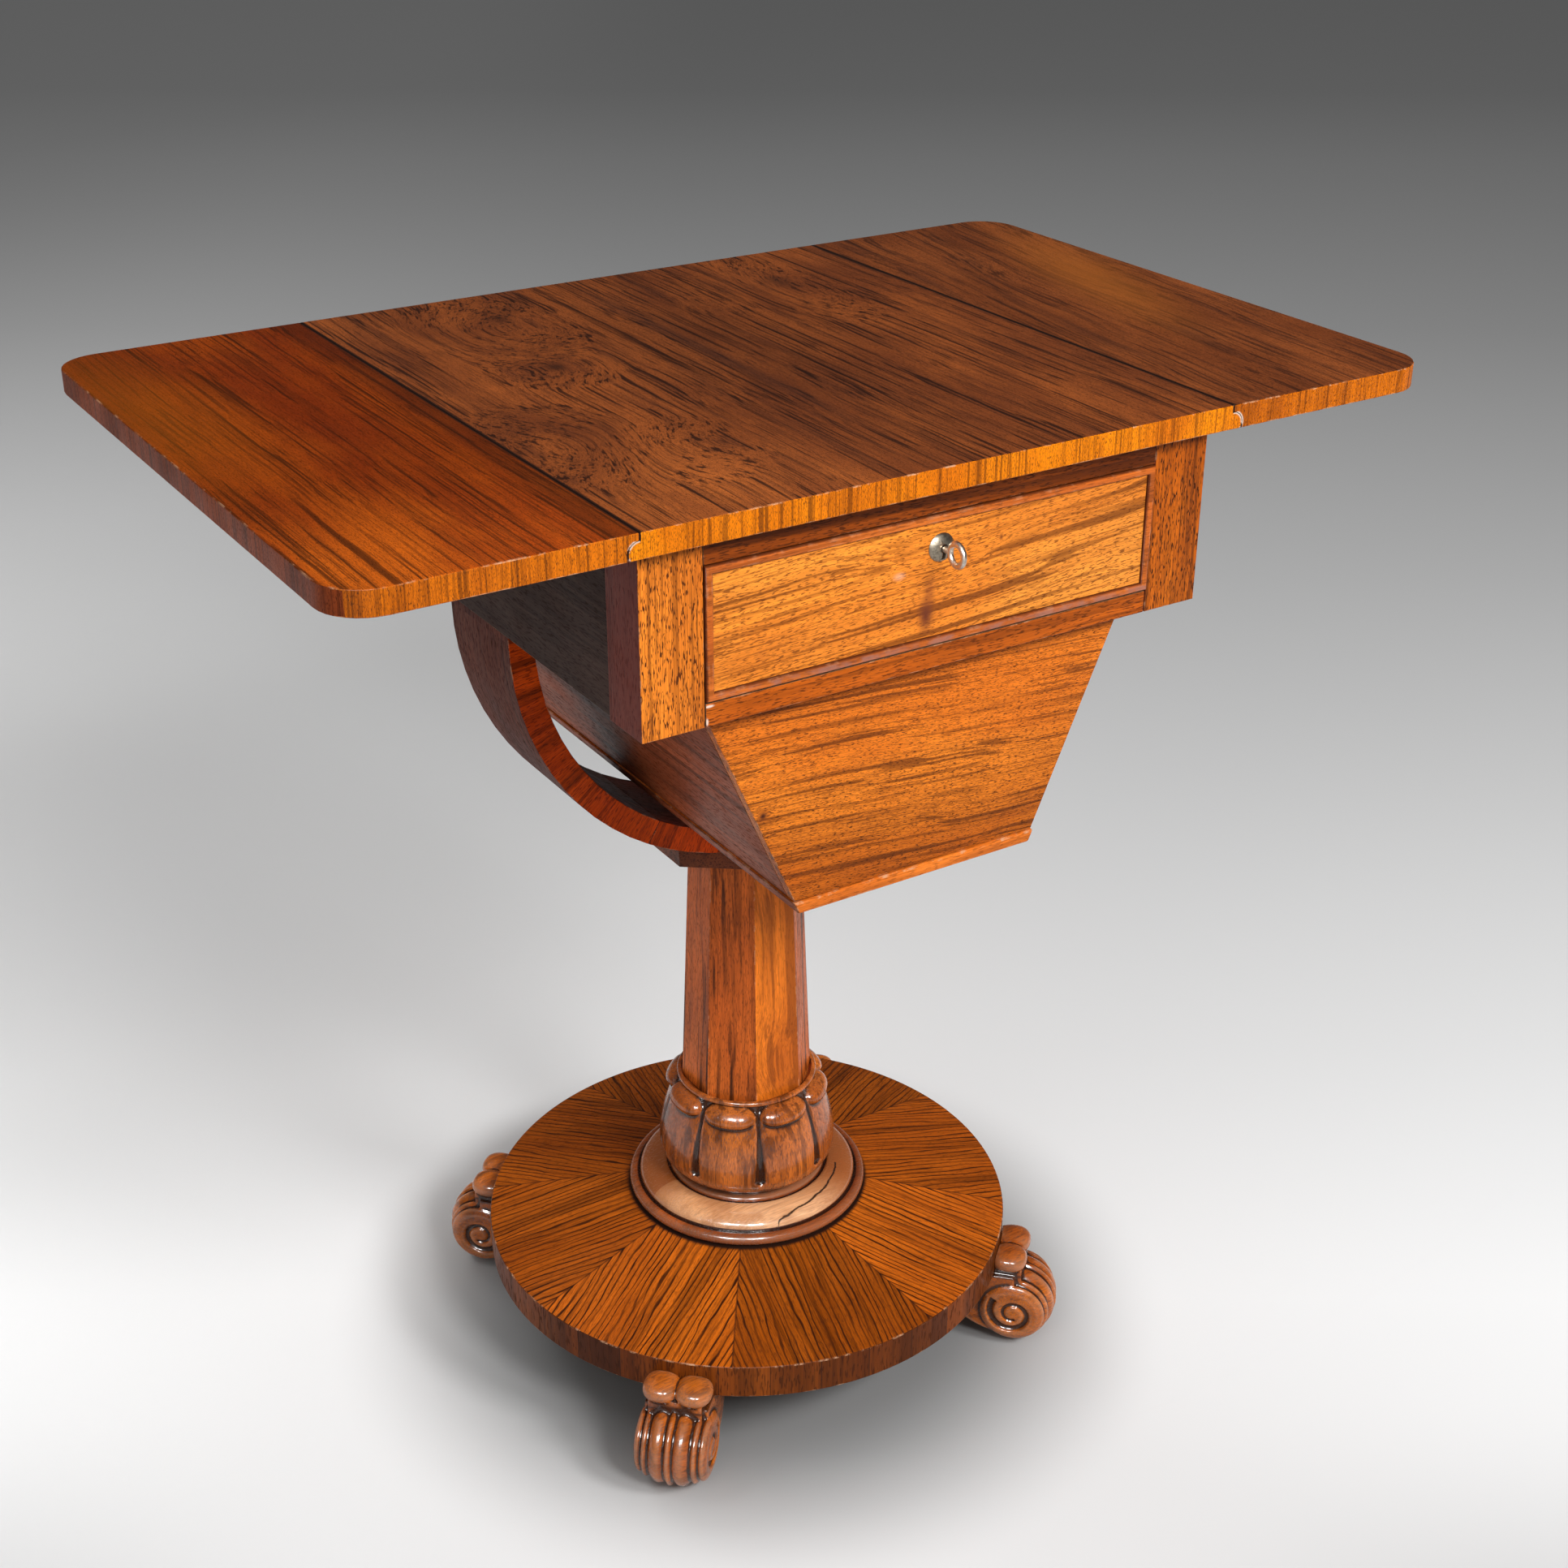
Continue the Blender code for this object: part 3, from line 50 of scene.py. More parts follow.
body_of = {node: body for body, members in record["behaviour"]["bodies"].items() for node in members}
SIDES = (("left", -1), ("right", 1))

WELD = 0.00001
BROAD_REACH = 6             # a broad hollow against a fine one
BROAD_DEPTH = 3.2
SEAM = 0.0003               # between pieces that are fixed together

# softened arrises
METAL_ARRIS = 0.0002
FRONT_ARRIS = 0.0004
THIN_ARRIS = 0.0005
WOOD_ARRIS = 0.0006
TOP_ARRIS = 0.0008
BRACKET_ARRIS = 0.0010
MOULDED_ARRIS = 0.0012
BOTTOM_ARRIS = 0.0014
BEAD_ROUND = 0.0016

# camera
CAMERA_PLACE = (-0.7093, -1.1704, 1.1226)
CAMERA_YAW = math.radians(-32.33)
CAMERA_PITCH = math.radians(-26.96)
CAMERA_ROLL = math.radians(0.155)
CAMERA_LENS = 52.2
CAMERA_FILM = 36.0

# top and leaves
JOINT_X = 0.198
HINGE_Z = 0.7075
HINGE_Y = 0.135
RULE_RADIUS = 0.0072
UNDERSIDE_Z = 0.704
TOP_Z = 0.719
TOP_HALF_DEPTH = 0.227
LEAF_FACE_X = 0.25          # what lies farther out is a leaf's
LEAF_CORNER_X = 0.3334      # where a leaf's rounded corners start
LEAF_CORNER_Y = 0.1985
SCREW_RADIUS = 0.0023
SCREW_RISE = 0.0003
SLOT_LENGTH = 0.0019        # half of a screw's slot
SLOT_WIDTH = 0.0003
SCREWS = {                  # (out from the joint, aside from the hinge's middle)
    "fixed": ((-0.015, -0.012), (-0.015, 0.0), (-0.015, 0.012)),
    "leaf": ((0.014, -0.011), (0.014, 0.011), (0.030, 0.0)),
}

# drawer and work box
FRONT_Y = -0.213
DRAWER_HALF = 0.1529
DRAWER_LOW = 0.6085
DRAWER_HIGH = 0.6864
BEAD_WIDTH = 0.0048
BEAD_FRONT_Y = -0.2140
DOVETAIL_PITCH = 0.0195
DOVETAIL_FRONT = -0.2077
DOVETAIL_BACK = -0.1947
KEY_PLACE = (0.0, -0.2277, 0.6664)    # middle of the key's bow
KEY_BOW_RADIUS = 0.0063
KEY_BOW_SECTION = (0.0019, 0.0017)
BOX_LINED_X = 0.083         # the work box's bottom is lined up to the middle of its walls
BOX_LINED_Y = 0.195

# stand
YOKE_CENTRE_Z = 0.5865
YOKE_RUN_RADIUS = 0.18
CAPITAL_INSIDE = 0.04
COLUMN_FOOT_RADIUS = 0.0466
COLUMN_SIDES = 8
TENON_RADIUS = 0.016
PLINTH_TOP = 0.1029
SOCLE_TOP = 0.1235
COLLAR_TOP = 0.2005
COLLAR_BULGE_RADIUS = 0.0635
COLLAR_FOOT_RADIUS = 0.0545
COLLAR_NECK_RADIUS = 0.0486
COLLAR_RING_RADIUS = 0.0500
COLLAR_RING_HEIGHT = 0.0040
COLLAR_SEAT = 0.0035
COLLAR_BULGE_AT = 0.21
LOBE_RISE = 0.0066
LOBE_HEIGHT = 0.0145
LOBE_DROP = 0.0112
LOBE_HALF_ANGLE = math.radians(20.5)
DART_DEPTH = 0.0030
DART_WIDTH = 0.0108
DART_FOOT = 0.0150
FORK_SLOPE = 0.75           # a dart forks between the lobes
FORK_HALF_WIDTH = 0.0011
FORK_DEPTH = 0.62
FORK_FLOOR = 0.30
COLLAR_QUIRK = 0.0048       # gap under the collar, painted dark as shade
COLLAR_TUCK = 0.0035
SOCLE_RADIUS = 0.0862
SOCLE_RING = 0.0042
SOCLE_DISH_RADIUS = 0.0785
SOCLE_DISH_RISE = 0.0088
SOCLE_TOP_RADIUS = 0.0600
SOCLE_QUIRK = 0.0018
PLINTH_RADIUS = 0.1896
PLINTH_RIM_TOP = 0.0849
PLINTH_FLOOR = 0.0592
PLINTH_MORTISE_Z = PLINTH_FLOOR + 0.0155
PLINTH_ARRIS = 0.0012
VENEER_SEGMENTS = 8
WEDGE = math.tau / VENEER_SEGMENTS
VENEER_TURN = math.radians(10.5)      # first joint of the plinth's veneer, from +X
RING_PITCH = 0.0046         # between the dark lines in the plinth's veneer

# feet
SCROLL_RADIUS = 0.0297
SCROLL_OUT = 0.0139
SCROLL_WIDTH = 0.051
SCROLL_DROP = 0.0080
SCROLL_PAD = 0.0005
REED_DEPTH = 0.0034
REED_CENTRE = 0.0054
REED_WIDE = 0.0122
REED_NARROW = 0.0050
VOLUTE_RADIUS = 0.0178
VOLUTE_EYE = 0.0050
VOLUTE_GROOVE = 0.0025
VOLUTE_START = math.radians(140)
VOLUTE_TURNS = 1.45
BUN_SIZE = (0.0130, 0.0127, 0.0075)
BUN_OVERLAP = 0.0015
BUN_DROP = 0.0026
BUN_OUT = 0.0084
BUN_SQUARE = 2.4
NECK_OUT = 0.0185
NECK_WIDTH = 0.037
TAIL_LENGTH = 0.046
TAIL_WIDTH = 0.044
TAIL_TIP = 0.020
NECK_DIRT_AND_SHADE_BELOW = 0.0080    # dirt with painted shade in the neck under the buns, from the foot of the buns
NECK_DIRT_AND_SHADE_ABOVE = 0.0020
NECK_DIRT_AND_SHADE_OUT = 0.014
NECK_DIRT_AND_SHADE_FADE = 0.0045
CARVING_GRAIN = 0.0008      # the finest step of a foot's carving


# what the finishes are made of

class Value:
    """What a node puts out: a number, a place or a colour that changes over a surface."""

    def __init__(self, tree, socket):
        self.tree = tree
        self.socket = socket

    def math(self, operation, *others, clamp=False):
        inputs = dict(enumerate((self, *others)))
        return make(self.tree, "ShaderNodeMath", inputs, operation=operation, use_clamp=clamp)

    def __rsub__(self, other):
        return make(self.tree, "ShaderNodeMath", {0: other, 1: self}, operation="SUBTRACT")

    __add__ = functools.partialmethod(math, "ADD")
    __sub__ = functools.partialmethod(math, "SUBTRACT")
    __mul__ = functools.partialmethod(math, "MULTIPLY")
    __truediv__ = functools.partialmethod(math, "DIVIDE")
    __abs__ = functools.partialmethod(math, "ABSOLUTE")
    __gt__ = functools.partialmethod(math, "GREATER_THAN")
    __lt__ = functools.partialmethod(math, "LESS_THAN")


def add(tree, kind, inputs=None, **settings):
    """A new node, with its settings, and its inputs set or linked."""
    node = tree.nodes.new(kind)
    for key, value in settings.items():
        setattr(node, key, value)
    for key, value in (inputs or {}).items():
        if isinstance(value, Value):
            tree.links.new(value.socket, node.inputs[key])
        else:
            node.inputs[key].default_value = value
    return node


def make(tree, kind, inputs=None, output=0, **settings):
    return Value(tree, add(tree, kind, inputs, **settings).outputs[output])


def spread(value, low, high, to_low=0.0, to_high=1.0, way="SMOOTHSTEP"):
    """The value's range from low to high, spread over another range."""
    inputs = {"Value": value, "From Min": low, "From Max": high, "To Min": to_low, "To Max": to_high}
    return make(value.tree, "ShaderNodeMapRange", inputs, "Result", interpolation_type=way)


def blend(share, first, second, way="MIX"):
    """Two colours mixed by a share."""
    given = (share, first, second)
    tree = next(value.tree for value in given if isinstance(value, Value))
    inputs = {key: value if isinstance(value, (Value, float)) else (*value, 1.0)
              for key, value in zip((0, 6, 7), given)}
    return make(tree, "ShaderNodeMix", inputs, 2, data_type="RGBA", blend_type=way)


def tint(share, colour, factor):
    """A colour lightened or darkened by a factor for each channel."""
    return blend(share, colour, factor, way="MULTIPLY")


def greys(value, points, way="LINEAR"):
    """A value turned into greys by (position, tone) points, the first at 0."""
    ramp = add(value.tree, "ShaderNodeValToRGB", {0: value})
    ramp.color_ramp.interpolation = way
    elements = ramp.color_ramp.elements
    elements[1].position = points[-1][0]
    for position, _ in points[1:-1]:
        elements.new(position)
    for element, (_, tone) in zip(elements, points):
        element.color = (tone, tone, tone, 1.0)
    return Value(value.tree, ramp.outputs[0])


def split(place):
    """A place's X, Y and Z."""
    node = add(place.tree, "ShaderNodeSeparateXYZ", {0: place})
    return [Value(place.tree, socket) for socket in node.outputs]


def joined(x, y, z):
    return make(x.tree, "ShaderNodeCombineXYZ", {0: x, 1: y, 2: z})


def scaled(place, size):
    return make(place.tree, "ShaderNodeVectorMath", {0: place, 1: size}, operation="MULTIPLY")


def moved(place, by):
    return make(place.tree, "ShaderNodeVectorMath", {0: place, 1: by})


def turned(place, angles):
    return make(place.tree, "ShaderNodeMapping", {"Vector": place, "Rotation": angles})


def distance(place):
    return make(place.tree, "ShaderNodeVectorMath", {0: place}, "Value", operation="LENGTH")


def noise(place, scale, detail, roughness):
    inputs = {"Vector": place, "Scale": scale, "Detail": detail, "Roughness": roughness}
    return make(place.tree, "ShaderNodeTexNoise", inputs, "Fac")


def spot(place, middle, size, turn=0.0):
    """A soft spot that is 1 in its middle and 0 at its rim."""
    inputs = {"Vector": place, "Location": middle, "Rotation": (0.0, 0.0, turn), "Scale": size}
    off = distance(make(place.tree, "ShaderNodeMapping", inputs, vector_type="TEXTURE"))
    return spread(off, 1.0, 0.0)


def dab(place, colour, middle, size, share, tone, turn=0.0):
    """The colour with a soft spot of another tone on it."""
    return blend(spot(place, middle, size, turn) * share, colour, tone)


def polar(place):
    """A place's angle about Z, and its distance from Z."""
    x, y, _ = split(place)
    return y.math("ARCTAN2", x), distance(scaled(place, (1.0, 1.0, 0.0)))


def new_group(name, inputs, outputs):
    """The tree of a group of nodes, and what it is given."""
    tree = bpy.data.node_groups.new(name, "ShaderNodeTree")
    for label, kind in inputs.items():
        tree.interface.new_socket(label, in_out="INPUT", socket_type=kind)
    for label in outputs:
        tree.interface.new_socket(label, in_out="OUTPUT", socket_type="NodeSocketFloat")
    given = tree.nodes.new("NodeGroupInput")
    return tree, {socket.name: Value(tree, socket) for socket in given.outputs}


def place_group(tree, group, inputs):
    node = add(tree, "ShaderNodeGroup", inputs, node_tree=group)
    return {socket.name: Value(tree, socket) for socket in node.outputs}


def new_material(name):
    """A material, its empty tree, and the place on a piece."""
    material = bpy.data.materials.new(name)
    material.use_nodes = True
    tree = material.node_tree
    tree.nodes.clear()
    return material, tree, make(tree, "ShaderNodeTexCoord", output="Object")


def set_surface(tree, inputs):
    add(tree, "ShaderNodeOutputMaterial", {"Surface": make(tree, "ShaderNodeBsdfPrincipled", inputs)})


# effects that several finishes share

def make_rosewood_figure():
    """Rosewood's figure, where Y runs along the grain: tone, bands, dark lines, dashes and fibre."""
    numbers = dict.fromkeys(("Bend", "Wander", "Swirl", "Fineness", "Leaf"), "NodeSocketFloat")
    tree, given = new_group("rosewood_figure", {"Grain": "NodeSocketVector", **numbers},
                            ("Cloud", "Bands", "Lines", "Dashes", "Fibre"))
    leaf = given["Leaf"]
    grain = moved(given["Grain"], joined(leaf, leaf, leaf))
    slow = noise(scaled(grain, (1.0, 0.28, 1.0)), 10.0, 2.0, 0.5)
    eddy = noise(scaled(grain, (1.0, 0.7, 1.0)), 8.0, 1.5, 0.4)
    ripple = noise(scaled(grain, (1.0, 0.35, 1.0)), 55.0, 2.0, 0.5)
    drift = (slow - 0.5) * given["Wander"] + (eddy - 0.5) * given["Swirl"]
    shift = drift + ((ripple - 0.5) * 0.0016 + given["Bend"])
    bent = moved(grain, joined(shift, 0.0, shift))

    def streaks(stretch, scale, detail, roughness):
        return noise(scaled(bent, (1.0, stretch, 1.0)), given["Fineness"] * scale, detail, roughness)

    bands = streaks(0.03, 62.0, 3.0, 0.55)
    broad = streaks(0.008, 205.0, 0.8, 0.5)
    thin = streaks(0.013, 520.0, 0.8, 0.5)
    dashes = streaks(0.15, 1150.0, 1.0, 0.5)
    fibre = streaks(0.02, 1300.0, 2.0, 0.6)
    cloud = noise(scaled(bent, (1.0, 0.3, 1.0)), 17.0, 3.0, 0.55)
    lines = spread(broad, 0.54, 0.63).math("MAXIMUM", spread(thin, 0.54, 0.66) * 0.75)
    add(tree, "NodeGroupOutput", {
        "Cloud": spread(cloud, 0.34, 0.66),
        "Bands": spread(bands, 0.46, 0.68),
        "Lines": lines * spread(bands, 0.34, 0.56, 0.25, 1.0),
        "Dashes": spread(dashes, 0.55, 0.64),
        "Fibre": spread(fibre, 0.34, 0.66),
    })
    return tree


def make_age():
    """Worn arrises, dirt with painted shade in the hollows, rubbed crests with a painted highlight, and a
    handled polish.
    """
    tree, given = new_group("age", {"Place": "NodeSocketVector"}, ("Wear", "GrimeAndShade", "Crest", "Smears"))
    arris, hollow = (make(tree, "ShaderNodeAttribute", output="Fac", attribute_name=name)
                     for name in ("arris", "hollow"))
    add(tree, "NodeGroupOutput", {
        "Wear": arris * spread(noise(given["Place"], 95.0, 5.0, 0.7), 0.50, 0.66),
        # hollows darken as dirt with painted shade; crests lighten as rubbing with a painted highlight
        "GrimeAndShade": spread(hollow, 0.06, 0.62),
        "Crest": spread(hollow, -0.15, -0.9),
        "Smears": spread(noise(given["Place"], 26.0, 4.0, 0.6), 0.35, 0.70),
    })
    return tree


rosewood_figure = make_rosewood_figure()
age = make_age()

# pale for worn arrises, and a painted highlight with rubbing on crests; near-black for dirt with painted
# shade in hollows
WORN_AND_SHEEN = (0.62, 0.34, 0.19)
GRIME_AND_SHADE = (0.010, 0.005, 0.004)


def rosewood(name, light, deep, dark, grain, bend=None, wander=0.02, swirl=0.0, fineness=1.0,
             leaf=0.0, bands=0.5, lines=0.7, dashes=0.6, fibre=0.34, rough=0.36, gloss=0.12,
             coat=0.0, wear=0.5, marks=None):
    """A polished rosewood: two tones of ground, darker bands, lines and dashes, wear, dirt with painted
    shade in hollows, and painted highlights on crests.
    """
    material, tree, place = new_material(name)
    figure = place_group(tree, rosewood_figure, {
        "Grain": grain(place), "Bend": bend(place) if bend else 0.0, "Wander": wander, "Swirl": swirl,
        "Fineness": fineness, "Leaf": leaf})
    old = place_group(tree, age, {"Place": place})
    line = [value * 0.4 for value in dark]
    colour = blend(figure["Cloud"], light, deep)
    for label, share, tone in (("Fibre", fibre, dark), ("Bands", bands, dark), ("Lines", lines, line),
                               ("Dashes", dashes, line)):
        colour = blend(figure[label] * share, colour, tone)
    if marks:
        colour = marks(place, colour)
    # painted highlight with rubbing on crests, worn arrises, and dirt with painted shade in hollows
    for label, share, tone in (("Crest", 0.25, WORN_AND_SHEEN), ("Wear", wear, WORN_AND_SHEEN), ("GrimeAndShade", 0.9, GRIME_AND_SHADE)):
        colour = blend(old[label] * share, colour, tone)
    uneven = old["Smears"].math("MULTIPLY_ADD", 0.10, rough - 0.05)
    sunk = figure["Lines"].math("MULTIPLY_ADD", 0.35, figure["Dashes"]) * -1.0
    set_surface(tree, {
        "Base Color": colour,
        "Roughness": figure["Dashes"].math("MULTIPLY_ADD", 0.22, uneven, clamp=True),
        "Normal": make(tree, "ShaderNodeBump", {"Height": sunk, "Strength": 0.25, "Distance": 0.00025}),
        "Specular IOR Level": gloss, "Coat Weight": coat, "Coat Roughness": 0.11})
    return material


def metal(name, colour, tarnish, rough, cover):
    """A handled metal with tarnish in its hollows and blotches."""
    material, tree, place = new_material(name)
    blotch = spread(noise(place, 420.0, 4.0, 0.65), 0.42, 0.66)
    tone = blend(blotch * cover, colour, tarnish)
    old = place_group(tree, age, {"Place": place})
    tone = blend(old["GrimeAndShade"], tone, [value * 0.3 for value in tarnish])
    scratch = noise(scaled(place, (1.0, 12.0, 1.0)), 500.0, 2.0, 0.5)
    set_surface(tree, {
        "Base Color": tone, "Metallic": 1.0,
        "Roughness": blotch.math("MULTIPLY_ADD", 0.25, rough, clamp=True),
        "Normal": make(tree, "ShaderNodeBump", {"Height": scratch, "Strength": 0.12, "Distance": 0.0001})})
    return material


# grains

TURNS = {"X": (0.0, 0.0, math.pi / 2), "Y": (0.0, 0.0, 0.0), "Z": (-math.pi / 2, 0.0, 0.0)}


def straight_grain(along, tilt=0.0):
    """Grain that runs along an axis, or a little across it."""
    lean = (0.0, tilt, 0.0) if along == "X" else (0.0, 0.0, tilt)
    return lambda place: turned(turned(place, lean), TURNS[along])


ALONG_X, ALONG_Y, ALONG_Z = (straight_grain(axis) for axis in "XYZ")


def top_eyes(place):
    """The grain of the centre board bends round two eyes and a flame."""
    bends = (((-0.100, 0.140, TOP_Z), (0.062, 0.095, 1.0), 0.034),
             ((-0.103, 0.052, TOP_Z), (0.050, 0.055, 1.0), -0.017),
             ((-0.166, -0.085, TOP_Z), (0.055, 0.090, 1.0), -0.026),
             ((-0.116, -0.125, TOP_Z), (0.055, 0.070, 1.0), 0.017),
             ((0.118, 0.130, TOP_Z), (0.040, 0.110, 1.0), 0.026))
    shifts = [spot(place, middle, size) * amount for middle, size, amount in bends]
    return functools.reduce(operator.add, shifts)


def yoke_grain(place):
    """Grain that follows the yoke's curve."""
    x, y, z = split(place)
    height = z - YOKE_CENTRE_Z
    radius = (height * height + x * x).math("SQRT")
    return joined(radius, height.math("ARCTAN2", x) * YOKE_RUN_RADIUS, y)


def yoke_crossing(place):
    """Grain that crosses the yoke's curve, as in a crossbanded veneer."""
    across, along, depth = split(yoke_grain(place))
    return joined(along, across, depth)


def veneer_wedge(place):
    """Where a place lies round the plinth, in veneers from a joint, and how far from its middle."""
    turn, radius = polar(place)
    around = (turn + (math.tau - VENEER_TURN)) / WEDGE
    return around.math("MODULO", float(VENEER_SEGMENTS)), radius


def radial_veneer(place):
    """Each veneer's grain is straight along its middle, and neighbours mirror."""
    around, radius = veneer_wedge(place)
    number = around.math("FLOOR")
    angle = (around - number - 0.5) * WEDGE
    mirror = 1.0 - number.math("MODULO", 2.0) * 2.0
    pair = ((number + 1.0) * 0.5).math("FLOOR")
    return joined(radius * angle.math("SINE") * mirror, radius * angle.math("COSINE"), pair * 0.37)


# marks of single pieces

TOP_DARK = (0.050, 0.016, 0.009)
SHADE = (0.020, 0.008, 0.005)
CHIPPED = (0.72, 0.56, 0.46)


def joint_shadow(place, reach):
    """How near a place lies to a leaf's joint."""
    return spread(abs(abs(split(place)[0]) - JOINT_X), reach, reach * 0.35)


def top_marks(place, colour):
    """A painted shade over the middle, a dark streak, three dark eyes and a painted glow on the front
    corner.
    """
    # painted shade over the middle of the top
    colour = tint(spot(place, (0.015, 0.06, TOP_Z), (0.13, 0.26, 1.0)), colour, (0.62, 0.62, 0.7))
    for middle, size, share, tone in (((-0.006, 0.03, TOP_Z), (0.010, 0.30, 1.0), 0.62, TOP_DARK),
                                      ((-0.103, 0.050, TOP_Z), (0.012, 0.016, 1.0), 0.75, SHADE),
                                      ((-0.085, 0.165, TOP_Z), (0.012, 0.020, 1.0), 0.5, SHADE),
                                      ((0.122, 0.150, TOP_Z), (0.012, 0.030, 1.0), 0.5, SHADE)):
        colour = dab(place, colour, middle, size, share, tone)
    # painted glow of light on the front corner
    colour = tint(spot(place, (-0.110, -0.190, TOP_Z), (0.13, 0.11, 1.0)), colour, (1.45, 1.5, 1.4))
    return blend(joint_shadow(place, 0.0022), colour, SHADE)


def left_leaf_marks(place, colour):
    colour = dab(place, colour, (-0.352, 0.10, TOP_Z), (0.075, 0.24, 1.0), 0.40, (0.30, 0.080, 0.001))
    colour = tint(spread(split(place)[1], -0.06, -0.23), colour, (1.85, 2.3, 5.0))
    colour = blend(joint_shadow(place, 0.026) * 0.5, colour, (0.050, 0.010, 0.002))
    return blend(joint_shadow(place, 0.0024), colour, SHADE)


def right_leaf_marks(place, colour):
    colour = dab(place, colour, (0.315, 0.05, TOP_Z), (0.050, 0.20, 1.0), 0.5,
                 (0.44, 0.125, 0.014), turn=-0.25)
    return blend(joint_shadow(place, 0.0024), colour, SHADE)


def rule_marks(place, colour):
    """The rule joint's outline on an end of the top, with pale chips along its round."""
    x, _, z = split(place)
    out, up = abs(x) - JOINT_X, z - HINGE_Z
    off_round = abs((out * out + up * up).math("SQRT") - RULE_RADIUS)
    below = (out > 0.0) * (up < RULE_RADIUS)
    riser = spread(abs(out), 0.0010, 0.0004) * (up > RULE_RADIUS - 0.0005)
    bow = spread(off_round, 0.0010, 0.0004) * below
    colour = blend(riser.math("MAXIMUM", bow), colour, SHADE)
    chip = spread(off_round, 0.0014, 0.0006) * below * spread(noise(place, 130.0, 3.0, 0.6), 0.46, 0.56)
    return blend(chip * 0.8, colour, CHIPPED)


def bead_marks(place, colour):
    """Painted shade in the quirks beside the bead, and its lower length greyed by dusting."""
    x, _, z = split(place)
    over = z - DRAWER_LOW
    inside = (DRAWER_HALF - abs(x)).math("MINIMUM", over.math("MINIMUM", DRAWER_HIGH - z))
    # painted shade along both edges of the bead, where the quirks are
    quirk_shade = spread(abs(inside - BEAD_WIDTH / 2), BEAD_WIDTH * 0.28, BEAD_WIDTH * 0.5, 0.0, 0.85)
    dusty = spread(over, BEAD_WIDTH, BEAD_WIDTH * 0.6) * spread(noise(place, 60.0, 3.0, 0.6), 0.40, 0.60)
    colour = blend(dusty * 0.7, colour, (0.30, 0.135, 0.105))
    return blend(quirk_shade, colour, (0.085, 0.018, 0.006))


def rail_marks(place, colour):
    """Pale chips at the left end of the lower rail."""
    for middle, size in (((-0.1508, -0.2127, 0.6056), (0.0042, 0.02, 0.0012)),
                         ((-0.1522, -0.2127, 0.5965), (0.0011, 0.02, 0.0030))):
        colour = blend(spot(place, middle, size).math("MULTIPLY", 1.6, clamp=True), colour, CHIPPED)
    return colour


def dovetail_marks(place, colour):
    """Lapped dovetails: the side's tails let into the end of the drawer's front."""
    _, y, z = split(place)
    from_pin = ((z - DRAWER_LOW) / DOVETAIL_PITCH).math("PINGPONG", 0.5) * DOVETAIL_PITCH
    pin = spread(y, DOVETAIL_FRONT, DOVETAIL_BACK, 0.0014, 0.0038, way="LINEAR")
    lapped = y > DOVETAIL_FRONT
    colour = blend((from_pin > pin) * lapped, (0.17, 0.078, 0.042), colour)
    joint = spread(abs(from_pin - pin), 0.0005, 0.0002) * lapped
    return blend(joint * 0.7, colour, SHADE)


def drawer_marks(place, colour):
    """A stain, a pale rub and flecks on the drawer's face, which is duller to the right."""
    for x, z, width, height, share, tone in ((-0.009, 0.6275, 0.0082, 0.017, 1.0, (0.14, 0.032, 0.012)),
                                             (-0.007, 0.642, 0.0065, 0.015, 0.6, (0.24, 0.056, 0.014)),
                                             (-0.028, 0.6545, 0.006, 0.0035, 0.5, (0.80, 0.45, 0.30)),
                                             (0.042, 0.664, 0.0022, 0.0032, 0.85, (0.14, 0.026, 0.008)),
                                             (-0.118, 0.628, 0.006, 0.004, 0.3, (0.30, 0.07, 0.014))):
        colour = dab(place, colour, (x, FRONT_Y, z), (width, 0.02, height), share, tone)
    return tint(spread(split(place)[0], -0.06, 0.17), colour, (0.86, 0.88, 1.0))


def box_marks(place, colour):
    """The work box's face has a painted shadow under the rail, darkens downwards and has a small knot."""
    height = split(place)[2]
    colour = tint(spread(height, 0.560, 0.455), colour, (0.62, 0.55, 0.4))
    # painted shadow under the rail
    colour = tint(spread(height, 0.577, 0.592), colour, (0.60, 0.52, 0.42))
    for size, share, tone in ((0.0065, 0.6, (0.26, 0.055, 0.008)), (0.0038, 1.0, (0.050, 0.012, 0.005))):
        colour = dab(place, colour, (-0.1085, -0.199, 0.521), (size, 0.02, size), share, tone)
    return colour


def plinth_marks(place, colour):
    """A tone and dark growth lines for each veneer, dark joints between them, and a dark joint with
    painted shadow round the socle's foot.
    """
    around, radius = veneer_wedge(place)
    tones = (0.62, 0.58, 0.72, 0.80, 1.06, 0.68, 1.20, 0.95)
    steps = [(number / VENEER_SEGMENTS, tone) for number, tone in enumerate(tones)]
    colour = tint(1.0, colour, greys(around / float(VENEER_SEGMENTS), steps, "CONSTANT"))
    laid = radial_veneer(place)
    drift = noise(scaled(laid, (1.0, 0.22, 1.0)), 42.0, 3.0, 0.55)
    ring = drift.math("MULTIPLY_ADD", 3.4, split(laid)[0] / RING_PITCH).math("PINGPONG", 0.5)
    weight = spread(noise(scaled(laid, (1.0, 0.10, 1.0)), 150.0, 2.0, 0.5), 0.34, 0.60, 0.50, 1.0)
    colour = blend(spread(ring, 0.19, 0.06) * weight, colour, (0.042, 0.010, 0.003))
    gap = spread(around.math("PINGPONG", 0.5) * WEDGE * radius, 0.0008, 0.0003)
    colour = blend(gap * 0.6, colour, SHADE)
    # dark joint with painted shadow round the socle's foot
    return blend(spread(radius, SOCLE_RADIUS + 0.0032, SOCLE_RADIUS), colour, SHADE)


